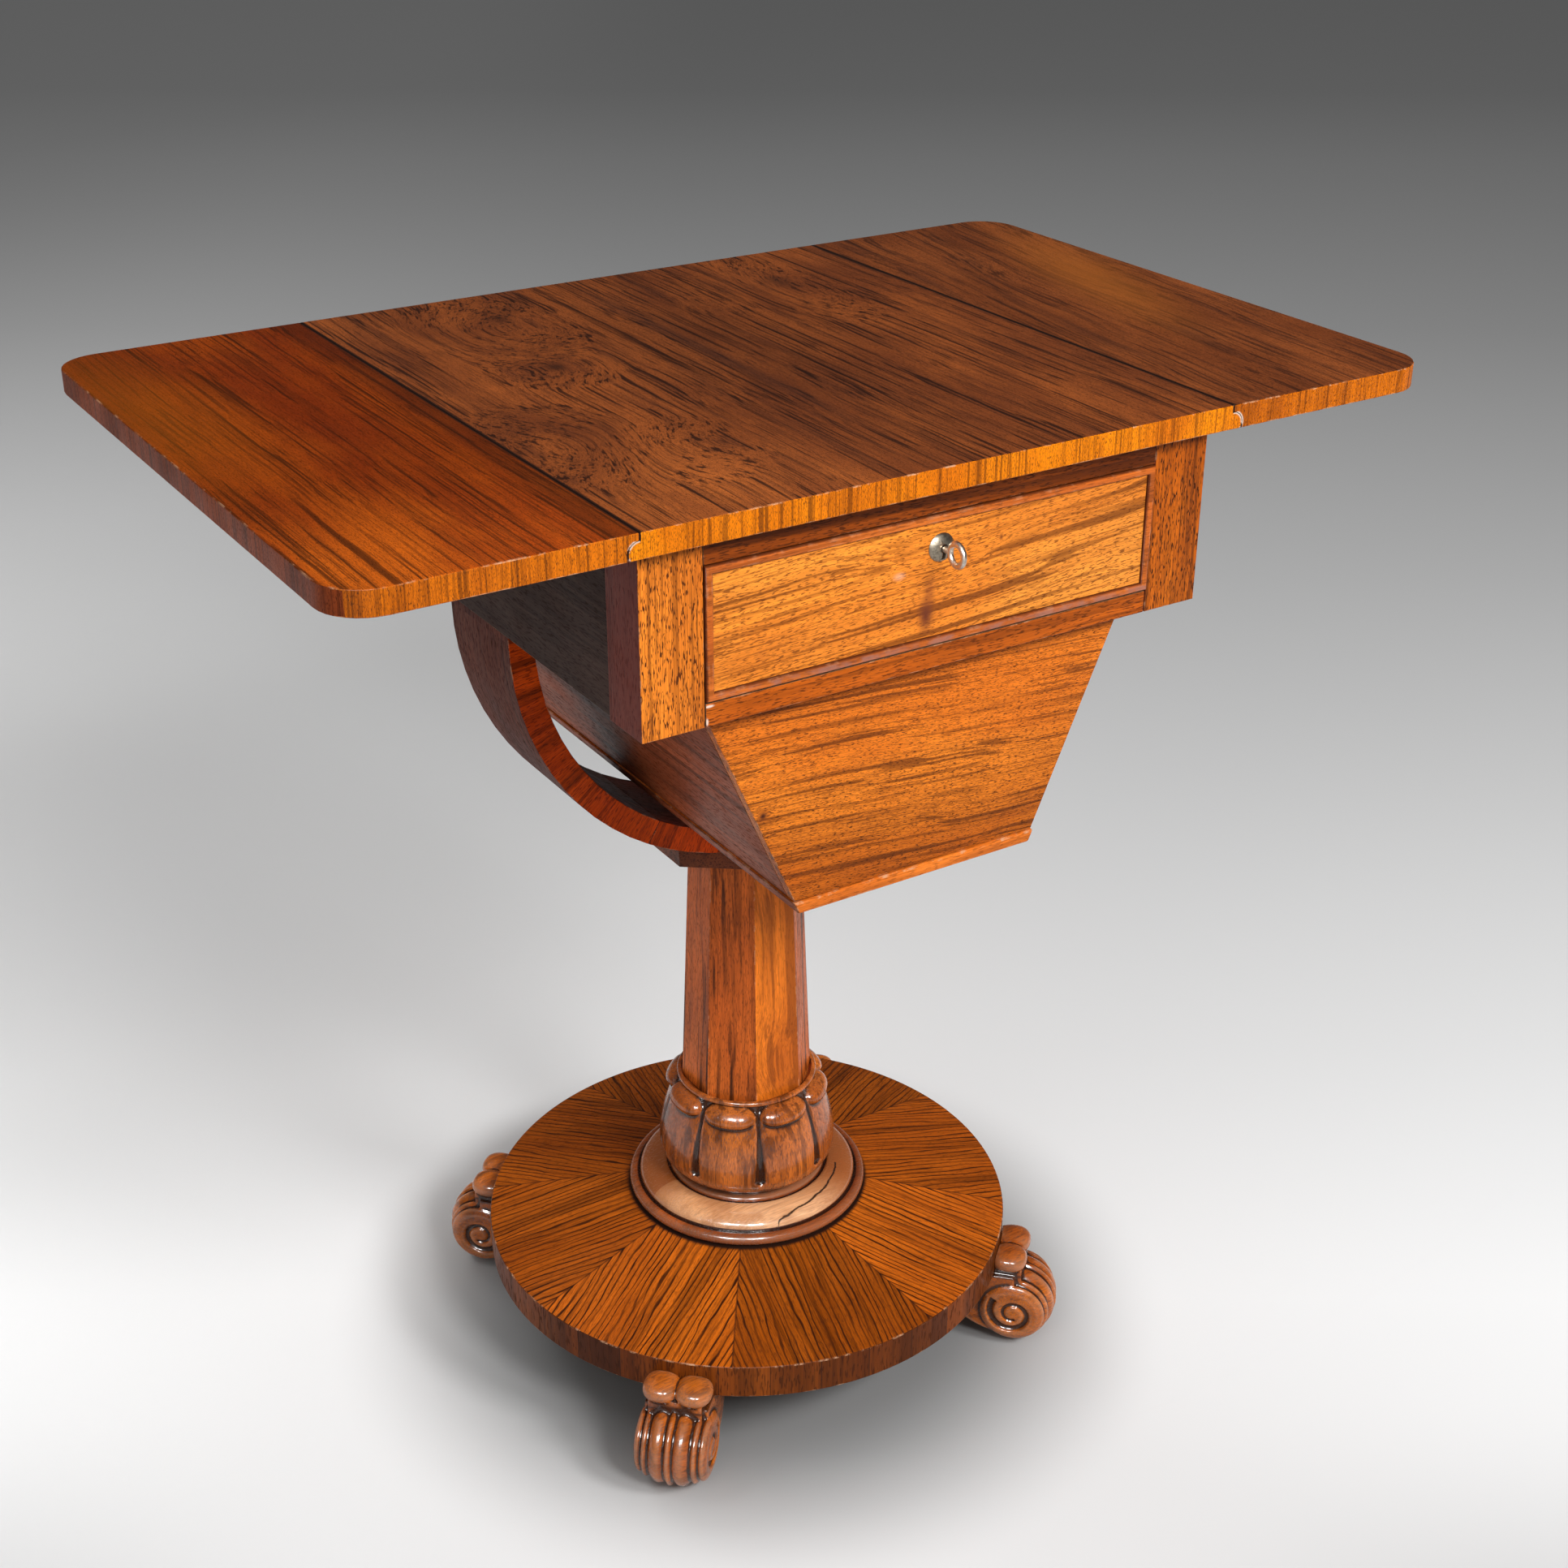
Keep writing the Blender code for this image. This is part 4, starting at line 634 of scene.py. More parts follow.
def rim_marks(place, colour):
    """The plinth's edge is veneered in short lengths of different tones."""
    run = polar(place)[0].math("MULTIPLY_ADD", 5.4, 40.0)
    tone = make(place.tree, "ShaderNodeTexWhiteNoise", {"W": run.math("FLOOR")}, "Value",
                noise_dimensions="1D")
    colour = blend(tone * 0.95, colour, (0.040, 0.010, 0.003))
    return blend(spread(run.math("PINGPONG", 0.5), 0.018, 0.004) * 0.7, colour, SHADE)


def dish_marks(place, colour):
    """Darker heartwood patches, painted shade on the sides so that the front stays pale, and a dark crack
    to the right of the front.
    """
    turn, radius = polar(place)
    heart_and_side_shade = spread(noise(place, 30.0, 3.0, 0.6), 0.46, 0.62) * 0.35
    # painted shade on the sides away from the front, with darker heartwood patches
    heart_and_side_shade = heart_and_side_shade.math("MAXIMUM", spread(abs(turn + 2.12), 0.45, 1.35))
    colour = blend(heart_and_side_shade, colour, (0.34, 0.095, 0.022))
    wobble = (noise(place, 90.0, 3.0, 0.6) - 0.5) * 0.0030
    run = turn.math("MULTIPLY_ADD", 0.943, 1.727)
    course = run.math("MAXIMUM", 0.0).math("SQRT").math("MULTIPLY_ADD", -0.0125, 0.0785)
    crack = spread(abs(radius + wobble - course), 0.0010, 0.0003) * (run > 0.0) * (run < 1.05)
    return blend(crack * 0.95, colour, SHADE)


# finishes

top_veneer = rosewood(
    "top veneer", (0.40, 0.098, 0.018), (0.23, 0.054, 0.012), TOP_DARK, ALONG_Y, top_eyes, 0.022,
    0.010, 2.7, 0.31, bands=0.42, lines=0.88, dashes=0.5, fibre=0.42, rough=0.40, gloss=0.08,
    marks=top_marks)
leaf_veneer = {
    "left": rosewood(
        "left leaf veneer", (0.39, 0.060, 0.001), (0.24, 0.027, 0.0006), (0.060, 0.012, 0.001),
        ALONG_Y, wander=0.012, swirl=0.006, fineness=2.6, leaf=1.7, bands=0.34, lines=0.75,
        dashes=0.55, fibre=0.42, rough=0.38, gloss=0.06, marks=left_leaf_marks),
    "right": rosewood(
        "right leaf veneer", (0.34, 0.086, 0.018), (0.20, 0.047, 0.010), TOP_DARK,
        straight_grain("Y", 0.10), wander=0.04, swirl=0.02, fineness=2.2, leaf=2.9, bands=0.45,
        lines=0.65, dashes=0.5, rough=0.40, gloss=0.08, marks=right_leaf_marks),
}
edge_banding = rosewood(
    "edge banding", (1.0, 0.290, 0.001), (0.78, 0.185, 0.001), (0.20, 0.042, 0.001), ALONG_Z,
    wander=0.004, fineness=3.2, leaf=0.9, bands=0.30, lines=0.62, dashes=0.8, wear=0.8,
    marks=rule_marks)
leaf_banding = rosewood(
    "leaf edge banding", (0.74, 0.178, 0.002), (0.48, 0.096, 0.001), (0.15, 0.030, 0.001), ALONG_Z,
    wander=0.004, fineness=3.2, leaf=3.3, bands=0.40, lines=0.62, dashes=0.8, wear=0.8,
    marks=rule_marks)
# a darker copy of the banding for the leaves' ends: painted shade
shaded_leaf_side = rosewood(
    "leaf side banding", (0.36, 0.070, 0.016), (0.23, 0.042, 0.010), (0.09, 0.018, 0.006), ALONG_Z,
    wander=0.004, fineness=3.2, leaf=3.8, bands=0.40, lines=0.6, dashes=0.7, gloss=0.05)
underside = rosewood(
    "underside", (0.30, 0.165, 0.085), (0.21, 0.110, 0.060), (0.11, 0.056, 0.03), ALONG_Y, leaf=4.1,
    bands=0.4, lines=0.4, dashes=0.3, rough=0.62, gloss=0.1)
post_veneer = {
    "left": rosewood(
        "left post veneer", (0.90, 0.255, 0.022), (0.70, 0.165, 0.013), (0.22, 0.045, 0.004),
        ALONG_Z, wander=0.008, fineness=1.25, leaf=5.3, bands=0.2, lines=0.6, dashes=1.0,
        fibre=0.5),
    "right": rosewood(
        "right post veneer", (0.66, 0.156, 0.006), (0.48, 0.096, 0.003), (0.11, 0.022, 0.002),
        ALONG_Z, wander=0.008, fineness=1.25, leaf=5.9, bands=0.3, lines=0.6, dashes=1.0,
        fibre=0.5),
}
# a darker copy for the posts' sides: painted shade
shaded_post_side = rosewood(
    "post side", (0.23, 0.047, 0.029), (0.16, 0.031, 0.021), (0.07, 0.016, 0.012), ALONG_Z,
    wander=0.01, leaf=6.7, bands=0.4, lines=0.4, dashes=0.4, gloss=0.04)
# dark as painted shade under the leaves
shaded_apron_wood = rosewood(
    "apron wood", (0.100, 0.056, 0.043), (0.066, 0.038, 0.030), (0.032, 0.018, 0.015), ALONG_Y,
    wander=0.015, leaf=6.1, lines=0.4, dashes=0.3, rough=0.55, gloss=0.04)
# a darker copy for the work box's sides: painted shade
shaded_box_side = rosewood(
    "work box side veneer", (0.40, 0.094, 0.034), (0.26, 0.060, 0.022), (0.11, 0.027, 0.010),
    ALONG_Y, wander=0.012, leaf=6.4, bands=0.35, lines=0.6, dashes=0.5, gloss=0.05)
rail_veneer = rosewood(
    "rail veneer", (0.64, 0.134, 0.006), (0.42, 0.077, 0.003), (0.14, 0.027, 0.002), ALONG_X,
    wander=0.012, leaf=7.7, bands=0.45, lines=0.6, dashes=0.7, marks=rail_marks)
shaded_rail = rosewood(
    "shaded rail veneer", (0.34, 0.066, 0.004), (0.22, 0.040, 0.002), (0.08, 0.016, 0.002), ALONG_X,
    wander=0.012, leaf=7.2, bands=0.45, lines=0.6, dashes=0.7)
drawer_veneer = rosewood(
    "drawer veneer", (1.0, 0.340, 0.040), (0.88, 0.255, 0.024), (0.32, 0.070, 0.008),
    straight_grain("X", math.radians(3.0)), wander=0.035, fineness=1.4, leaf=8.3, bands=0.30,
    lines=0.75, dashes=0.75, rough=0.34, marks=drawer_marks)
bead_wood = rosewood(
    "bead wood", (0.72, 0.178, 0.024), (0.54, 0.118, 0.016), (0.18, 0.040, 0.008), ALONG_X,
    wander=0.01, leaf=9.1, bands=0.4, lines=0.4, dashes=0.4, wear=0.22, marks=bead_marks)
box_veneer = rosewood(
    "work box veneer", (0.98, 0.275, 0.021), (0.80, 0.190, 0.012), (0.20, 0.040, 0.004),
    straight_grain("X", math.radians(-4.0)), wander=0.022, fineness=2.1, leaf=10.4, bands=0.30,
    lines=0.72, dashes=0.85, fibre=0.45, marks=box_marks)
foot_board_wood = rosewood(
    "bottom board wood", (0.86, 0.220, 0.024), (0.66, 0.150, 0.014), (0.22, 0.046, 0.006), ALONG_X,
    wander=0.01, leaf=10.9, bands=0.3, lines=0.4, dashes=0.4, wear=0.8)
yoke_veneer = rosewood(
    "yoke veneer", (0.78, 0.086, 0.001), (0.46, 0.043, 0.0005), (0.10, 0.014, 0.0005),
    yoke_crossing, wander=0.012, swirl=0.01, fineness=1.1, leaf=11.2, bands=0.6, lines=0.6,
    gloss=0.06)
# a darker copy for the yoke's curved faces: painted shade
shaded_yoke_side = rosewood(
    "yoke side", (0.16, 0.044, 0.025), (0.11, 0.028, 0.016), (0.05, 0.014, 0.009), yoke_grain,
    wander=0.01, leaf=11.6, bands=0.4, lines=0.5, rough=0.5, gloss=0.04)
column_veneer = rosewood(
    "column veneer", (0.84, 0.188, 0.022), (0.58, 0.114, 0.014), (0.12, 0.027, 0.006), ALONG_Z,
    wander=0.012, fineness=1.2, leaf=12.6, bands=0.48, lines=0.95, dashes=0.45)
column_front = rosewood(
    "column front veneer", (0.92, 0.235, 0.016), (0.68, 0.150, 0.010), (0.26, 0.052, 0.007),
    ALONG_Z, wander=0.08, swirl=0.06, leaf=13.5, bands=0.35, lines=0.5, dashes=0.3)
capital_wood = rosewood(
    "capital wood", (0.26, 0.065, 0.018), (0.16, 0.038, 0.012), (0.06, 0.016, 0.009), ALONG_X,
    leaf=14.2, lines=0.4)
carved_wood = rosewood(
    "carved wood", (0.70, 0.190, 0.030), (0.42, 0.098, 0.016), (0.085, 0.020, 0.007), ALONG_Z,
    wander=0.03, leaf=15.9, bands=0.40, lines=0.6, dashes=0.5, rough=0.24, gloss=0.3, coat=0.5)
ring_wood = rosewood(
    "ring wood", (0.40, 0.085, 0.012), (0.25, 0.048, 0.008), (0.085, 0.020, 0.006), ALONG_X,
    wander=0.03, leaf=16.9, bands=0.40, lines=0.3, dashes=0.35, rough=0.22, gloss=0.5, coat=0.4)
foot_wood = rosewood(
    "foot wood", (0.66, 0.165, 0.014), (0.40, 0.084, 0.008), (0.080, 0.019, 0.006), ALONG_X,
    wander=0.03, leaf=16.4, bands=0.40, lines=0.45, dashes=0.5, rough=0.24, gloss=0.25, coat=0.5)
dish_wood = rosewood(
    "dish wood", (0.98, 0.56, 0.300), (0.88, 0.430, 0.185), (0.36, 0.115, 0.036), ALONG_X,
    wander=0.05, leaf=17.8, bands=0.25, lines=0.2, dashes=0.2, rough=0.20, gloss=0.5, coat=0.5,
    marks=dish_marks)
plinth_veneer = rosewood(
    "plinth veneer", (0.66, 0.150, 0.008), (0.48, 0.098, 0.005), (0.085, 0.019, 0.003),
    radial_veneer, wander=0.010, swirl=0.010, fineness=1.4, leaf=18.3, bands=0.30, lines=0.40,
    dashes=0.35, gloss=0.08, marks=plinth_marks)
plinth_rim = rosewood(
    "plinth rim", (0.32, 0.072, 0.005), (0.21, 0.043, 0.004), (0.06, 0.014, 0.003), ALONG_Z,
    wander=0.006, fineness=0.6, leaf=19.5, bands=0.4, lines=0.4, gloss=0.08, wear=0.8,
    marks=rim_marks)
LINING = ((0.56, 0.33, 0.16), (0.42, 0.225, 0.10), (0.24, 0.115, 0.05))
lining_wood = rosewood(
    "lining wood", *LINING, ALONG_Y, wander=0.015, leaf=20.2, bands=0.35, lines=0.3, dashes=0.3,
    rough=0.6, gloss=0.15)
dovetail_wood = rosewood(
    "dovetailed wood", *LINING, ALONG_Y, leaf=20.9, bands=0.35, lines=0.3, dashes=0.3, rough=0.6,
    gloss=0.15, marks=dovetail_marks)
bearer_wood = rosewood(
    "bearer wood", (0.40, 0.24, 0.12), (0.28, 0.155, 0.075), (0.15, 0.075, 0.04), ALONG_Y,
    wander=0.01, leaf=21.6, bands=0.4, lines=0.3, dashes=0.3, rough=0.65, gloss=0.1)
bracket_wood = rosewood(
    "bracket wood", (0.17, 0.075, 0.05), (0.12, 0.050, 0.034), (0.05, 0.022, 0.017), ALONG_Y,
    wander=0.01, leaf=22.4, rough=0.5, gloss=0.15)
aged_brass = metal("aged brass", (0.62, 0.46, 0.22), (0.16, 0.11, 0.06), 0.30, 0.75)
worn_steel = metal("worn steel", (0.66, 0.58, 0.50), (0.26, 0.20, 0.16), 0.28, 0.5)
dark_bronze = metal("dark bronze", (0.34, 0.29, 0.22), (0.10, 0.085, 0.065), 0.34, 0.7)


# shapes

def merged(node):
    """A copy of a solid's surface with its points merged and its flat faces whole."""
    shape = bmesh.new()
    shape.from_mesh(nodes[node].data)
    bmesh.ops.remove_doubles(shape, verts=shape.verts, dist=WELD)
    return with_whole_faces(shape)


def with_whole_faces(shape):
    bmesh.ops.dissolve_limit(shape, angle_limit=math.radians(0.4), verts=shape.verts, edges=shape.edges)
    return shape


def ease(shape, width, segments=2, sharper=30.0, only=None):
    """Softens the sharp arrises, and marks the softened faces."""
    mark = shape.faces.layers.float.new("arris")
    sharp = [edge for edge in shape.edges
             if len(edge.link_faces) == 2 and edge.calc_face_angle() > math.radians(sharper)
             and (only is None or only(edge))]
    soft = bmesh.ops.bevel(shape, geom=sharp, offset=width, offset_type="OFFSET", affect="EDGES",
                           segments=segments, profile=0.5, material=-1, clamp_overlap=True)
    for face in soft["faces"]:
        face[mark] = 1.0
    return shape


def lathe(profile, steps):
    """A profile of (radius, height) points turned about Z."""
    shape = bmesh.new()
    points = [shape.verts.new((radius, 0.0, height)) for radius, height in profile]
    edges = [shape.edges.new(pair) for pair in zip(points, points[1:])]
    bmesh.ops.spin(shape, geom=points + edges, cent=(0, 0, 0), axis=(0, 0, 1), dvec=(0, 0, 0),
                   angle=math.tau, steps=steps, use_merge=True)
    bmesh.ops.remove_doubles(shape, verts=shape.verts, dist=WELD / 10)
    bmesh.ops.recalc_face_normals(shape, faces=shape.faces)
    return shape


def arc(centre, radius, start, end, steps):
    turns = [start + (end - start) * step / steps for step in range(steps + 1)]
    return [(centre[0] + radius * math.cos(turn), centre[1] + radius * math.sin(turn)) for turn in turns]


def box_between(low, high):
    shape = bmesh.new()
    bmesh.ops.create_cube(shape, size=1.0)
    bmesh.ops.scale(shape, verts=shape.verts, vec=[b - a for a, b in zip(low, high)])
    bmesh.ops.translate(shape, verts=shape.verts, vec=[(a + b) / 2 for a, b in zip(low, high)])
    return shape


def from_axis(place):
    """How far a place lies from the stand's axis."""
    return math.hypot(place.x, place.y)


def as_mesh(name, shape):
    """A shape as a mesh; the shape goes."""
    mesh = bpy.data.meshes.new(name)
    shape.to_mesh(mesh)
    shape.free()
    return mesh


def as_shape(mesh):
    """A mesh as a shape; the mesh goes."""
    shape = bmesh.new()
    shape.from_mesh(mesh)
    bpy.data.meshes.remove(mesh)
    return shape


def gathered(shapes):
    """Several shapes in one."""
    whole = bmesh.new()
    for shape in shapes:
        mesh = as_mesh("form", shape)
        whole.from_mesh(mesh)
        bpy.data.meshes.remove(mesh)
    return whole


def in_scene(name, data):
    item = bpy.data.objects.new(name, data)
    bpy.context.scene.collection.objects.link(item)
    return item


def evaluated_mesh(item):
    """The mesh of an object with its modifiers applied; the object goes."""
    graph = bpy.context.evaluated_depsgraph_get()
    mesh = bpy.data.meshes.new_from_object(item.evaluated_get(graph))
    bpy.data.objects.remove(item)
    return mesh


def cut_by(item, cutters):
    """An object's mesh with the cutters taken away; object and cutters go."""
    for cutter in cutters:
        cut = item.modifiers.new(cutter.name, "BOOLEAN")
        cut.operation = "DIFFERENCE"
        cut.solver = "EXACT"
        cut.object = cutter
    mesh = evaluated_mesh(item)
    for cutter in cutters:
        bpy.data.objects.remove(cutter)
    return mesh


def mark_hollows(mesh, reach=14, depth=0.0007, cut=None):
    """Stores how far each point lies below the smoothed surface: 1 in a groove, -1 on a crest."""
    count = len(mesh.vertices)
    place = np.zeros(count * 3)
    mesh.vertices.foreach_get("co", place)
    place = place.reshape(-1, 3)
    ends = np.zeros(len(mesh.edges) * 2, int)
    mesh.edges.foreach_get("vertices", ends)
    first, second = ends[0::2], ends[1::2]
    degree = np.bincount(ends, minlength=count)[:, None]
    normal = np.array([tuple(entry.vector) for entry in mesh.vertex_normals])
    smooth = place.copy()
    for step in range(1, reach * BROAD_REACH + 1):
        near = np.stack([np.bincount(first, smooth[second, axis], count)
                         + np.bincount(second, smooth[first, axis], count) for axis in range(3)], axis=1)
        smooth = 0.4 * smooth + 0.6 * near / np.maximum(degree, 1)
        if step == reach:
            fine = ((smooth - place) * normal).sum(1) / depth
    broad = ((smooth - place) * normal).sum(1) / (depth * BROAD_DEPTH)
    below = np.maximum(fine, broad)
    # cut adds painted dark: dirt with painted shade in the collar's darts and quirk, and in the feet's
    # necks
    if cut is not None:
        below = np.maximum(below, cut)
    store = mesh.attributes.new("hollow", "FLOAT", "POINT")
    store.data.foreach_set("value", np.clip(below, -1.0, 1.0).astype(np.float32))


def show_mesh(name, mesh, materials, node, adds=False, sharp=35.0, weighted=True):
    """Makes a mesh one piece of the table, which stands for a CAD node or adds to it."""
    for material in materials:
        mesh.materials.append(material)
    mesh.shade_smooth()
    mesh.set_sharp_from_angle(angle=math.radians(sharp))
    item = in_scene(name, mesh)
    if weighted:
        normals = item.modifiers.new("flat faces stay flat", "WEIGHTED_NORMAL")
        normals.keep_sharp = True
    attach(item, body_of[node])
    if not adds:
        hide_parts(node)


def show(name, shape, materials, node, choose=None, **how):
    """Makes a shape one piece of the table, with a material chosen for each face."""
    if choose:
        for face in shape.faces:
            face.material_index = choose(face)
    show_mesh(name, as_mesh(name, shape), materials, node, **how)


def show_solid(name, node, materials, width, segments=2, sharper=30.0, only=None, choose=None, **how):
    """Shows a CAD node with its arrises softened."""
    show(name, ease(merged(node), width, segments, sharper, only), materials, node, choose, **how)


# top and leaves

def top_face(face):
    normal, middle = face.normal, face.calc_center_median()
    if normal.z > 0.7:
        return 0
    if normal.z < -0.7:
        return 2
    if abs(middle.x) > LEAF_FACE_X and abs(normal.x) > 0.75:
        return 3
    return 1 if abs(normal.y) > 0.5 or abs(middle.x) > LEAF_FACE_X else 0


def outer_arris(edge):
    """Whether an edge runs round the outside of the top, on its upper or lower face."""
    first, second = (point.co for point in edge.verts)
    middle = (first + second) / 2
    off_face = min(abs(middle.z - TOP_Z), abs(middle.z - UNDERSIDE_Z))
    level = abs(first.z - second.z) < WELD and off_face < WELD
    end = abs(first.y - second.y) < WELD and abs(middle.y) > TOP_HALF_DEPTH - WELD
    return level and (end or abs(middle.x) > LEAF_CORNER_X)


def leaf_shape(node):
    """A leaf with the arrises of its rounded corners made level."""
    shape = bmesh.new()
    shape.from_mesh(nodes[node].data)
    for point in shape.verts:
        if abs(point.co.x) > LEAF_CORNER_X and abs(point.co.y) > LEAF_CORNER_Y:
            point.co.z = TOP_Z if point.co.z > HINGE_Z else UNDERSIDE_Z
    bmesh.ops.remove_doubles(shape, verts=shape.verts, dist=0.0001)
    bmesh.ops.dissolve_degenerate(shape, dist=WELD, edges=shape.edges)
    return with_whole_faces(shape)


show_solid("top_board", "top_panel", (top_veneer, edge_banding, underside), TOP_ARRIS, only=outer_arris,
           choose=top_face)
for side, _ in SIDES:
    show(f"{side}_leaf_board", ease(leaf_shape(f"{side}_leaf"), TOP_ARRIS, only=outer_arris),
         (leaf_veneer[side], leaf_banding, underside, shaded_leaf_side), f"{side}_leaf", top_face)


# case

def outward_face(face):
    return 0 if abs(face.normal.y) > 0.6 else 1


for row in ("front", "back"):
    for side, _ in SIDES:
        node = f"{row}_{side}_post"
        show_solid(node + "_wood", node, (post_veneer[side], shaded_post_side), WOOD_ARRIS, choose=outward_face)
for node, finish in (("front_top_rail", shaded_rail), ("back_bottom_rail", rail_veneer)):
    show_solid(node + "_wood", node, (finish, underside), THIN_ARRIS, choose=outward_face)
show_solid("back_panel_wood", "back_panel", (drawer_veneer, underside), MOULDED_ARRIS, 3,
           choose=lambda face: 0 if face.normal.y > -0.5 else 1)
for side, way in SIDES:
    show_solid(f"{side}_shaded_apron_wood", f"{side}_apron", (shaded_apron_wood, underside), THIN_ARRIS,
               choose=lambda face, way=way: 0 if face.normal.x * way > 0.5 else 1)
    show_solid(f"{side}_runner_wood", f"{side}_drawer_runner", (bearer_wood,), WOOD_ARRIS)
    show_solid(f"{side}_fly_bracket_wood", f"{side}_fly_bracket", (bracket_wood,), BRACKET_ARRIS)
    for node in (f"{side}_fly_bracket_pin", f"{side}_front_hinge_pin", f"{side}_back_hinge_pin"):
        show_solid(node + "_steel", node, (worn_steel,), METAL_ARRIS, sharper=60.0)
    for end in ("front", "back"):
        for plate in ("fixed", "leaf"):
            node = f"{side}_{end}_hinge_{plate}_plate"
            show_solid(node + "_brass", node, (aged_brass,), METAL_ARRIS, sharper=50.0)


def screw_heads(places):
    """Slotted screw heads that stand a little below the underside."""
    low = UNDERSIDE_Z - SCREW_RISE
    parts = []
    for x, y in places:
        head = lathe([(0.0, UNDERSIDE_Z), (SCREW_RADIUS, UNDERSIDE_Z), (SCREW_RADIUS - 0.0002, low),
                      (0.0, low)], 24)
        slot = box_between((-SLOT_LENGTH, -SLOT_WIDTH, low - 0.00002),
                           (SLOT_LENGTH, SLOT_WIDTH, low + 0.0002))
        turn = Matrix.Rotation(x * 90 + y * 40, 3, "Z")
        bmesh.ops.rotate(slot, verts=slot.verts, cent=(0, 0, 0), matrix=turn)
        for index, part in enumerate((head, slot)):
            for face in part.faces:
                face.material_index = index
            bmesh.ops.translate(part, verts=part.verts, vec=(x, y, 0.0))
            parts.append(part)
    return gathered(parts)


for side, way in SIDES:
    for end, along in (("front", -1), ("back", 1)):
        for plate, offsets in SCREWS.items():
            places = [(way * (JOINT_X + out), along * HINGE_Y + aside) for out, aside in offsets]
            hinge = f"{side}_{end}_hinge_{plate}"
            show(hinge + "_screws", screw_heads(places), (worn_steel, dark_bronze),
                 hinge + "_plate", adds=True)


# drawer

def drawer_front_face(face):
    if abs(face.normal.x) > 0.5 and abs(face.calc_center_median().x) > DRAWER_HALF - 0.001:
        return 2
    return 0 if face.normal.y < -0.5 else 1


show_solid("drawer_front_wood", "drawer_front", (drawer_veneer, lining_wood, dovetail_wood), FRONT_ARRIS,
           choose=drawer_front_face)
show_solid("drawer_cockbead_wood", "drawer_cockbead", (bead_wood,), BEAD_ROUND, 4,
           only=lambda edge: all(point.co.y < BEAD_FRONT_Y for point in edge.verts))
for node in ("drawer_left_side", "drawer_right_side", "drawer_back", "drawer_bottom"):
    show_solid(node + "_wood", node, (lining_wood,), WOOD_ARRIS)
for node, finish in (("lock_case", aged_brass), ("lock_bolt", aged_brass), ("escutcheon", dark_bronze),
                     ("key", worn_steel)):
    show_solid(node + "_metal", node, (finish,), METAL_ARRIS, sharper=50.0)


def key_bow():
    """The flattened ring that the key's wire was forged to."""
    thick, high = KEY_BOW_SECTION
    turns = [math.tau * step / 20 for step in range(21)]
    ring = lathe([(KEY_BOW_RADIUS + thick * math.cos(turn), high * math.sin(turn)) for turn in turns], 64)
    lay = Matrix.Translation(KEY_PLACE) @ Matrix.Rotation(math.pi / 2, 4, "Y")
    bmesh.ops.transform(ring, matrix=lay, verts=ring.verts)
    return ring


show("key_bow_metal", key_bow(), (worn_steel,), "key", adds=True, weighted=False)


# work box

def box_outside(face):
    middle = face.calc_center_median()
    return 0 if face.normal.x * middle.x + face.normal.y * middle.y > 0.02 else 1


def box_bottom():
    """The bottom board, with the part of its upper face that lies inside the walls cut apart."""
    shape = ease(merged("workbox_bottom"), BOTTOM_ARRIS, 3)
    for way, half in ((Vector((1, 0, 0)), BOX_LINED_X), (Vector((0, 1, 0)), BOX_LINED_Y)):
        for sign in (-1, 1):
            upper = [face for face in shape.faces if face.normal.z > 0.9]
            cut = {item for face in upper for item in (face, *face.edges, *face.verts)}
            bmesh.ops.bisect_plane(shape, geom=list(cut), plane_co=way * half * sign, plane_no=way)
    return shape


def box_bottom_face(face):
    middle = face.calc_center_median()
    if face.normal.z > 0.9 and abs(middle.x) < BOX_LINED_X and abs(middle.y) < BOX_LINED_Y:
        return 2
    return 1 if abs(face.normal.x) > 0.5 else 0


show_solid("workbox_rail_wood", "workbox_front_rail", (rail_veneer, underside), WOOD_ARRIS,
           choose=outward_face)
for node in ("workbox_front_panel", "workbox_back_panel"):
    show_solid(node + "_wood", node, (box_veneer, lining_wood), WOOD_ARRIS, choose=box_outside)
show("workbox_bottom_wood", box_bottom(), (foot_board_wood, shaded_box_side, lining_wood), "workbox_bottom",
     box_bottom_face)
for side, _ in SIDES:
    show_solid(f"workbox_{side}_side_wood", f"workbox_{side}_side", (shaded_box_side, lining_wood), WOOD_ARRIS,
               choose=box_outside)
    show_solid(f"workbox_{side}_tongue_wood", f"workbox_{side}_runner", (bearer_wood,), THIN_ARRIS)


# yoke, capital and column

def column_face(face):
    turn = math.degrees(math.atan2(face.normal.y, face.normal.x))
    return 1 if abs(abs(turn) - 90) < 20 or abs(turn) < 20 else 0


for node in ("yoke_seat", "yoke_left_arm", "yoke_right_arm"):
    show_solid(node + "_wood", node, (yoke_veneer, shaded_yoke_side), WOOD_ARRIS, choose=outward_face, sharp=25.0)
show_solid("capital_wood", "capital", (capital_wood,), MOULDED_ARRIS, 3,
           only=lambda edge: all(from_axis(point.co) > CAPITAL_INSIDE for point in edge.verts))
show_solid("column_wood", "column", (column_veneer, column_front), WOOD_ARRIS, choose=column_face)


# collar, socle and plinth

def collar_radius(share):
    """The collar's plain outline, from its foot (0) to its neck (1)."""
    if share < COLLAR_BULGE_AT:
        rest = 1 - share / COLLAR_BULGE_AT
        swell = math.sqrt(1 - rest * rest)
        return COLLAR_FOOT_RADIUS + (COLLAR_BULGE_RADIUS - COLLAR_FOOT_RADIUS) * swell
    rest = (share - COLLAR_BULGE_AT) / (1 - COLLAR_BULGE_AT)
    swell = math.cos(rest * math.pi / 2)
    return COLLAR_NECK_RADIUS + (COLLAR_BULGE_RADIUS - COLLAR_NECK_RADIUS) * swell


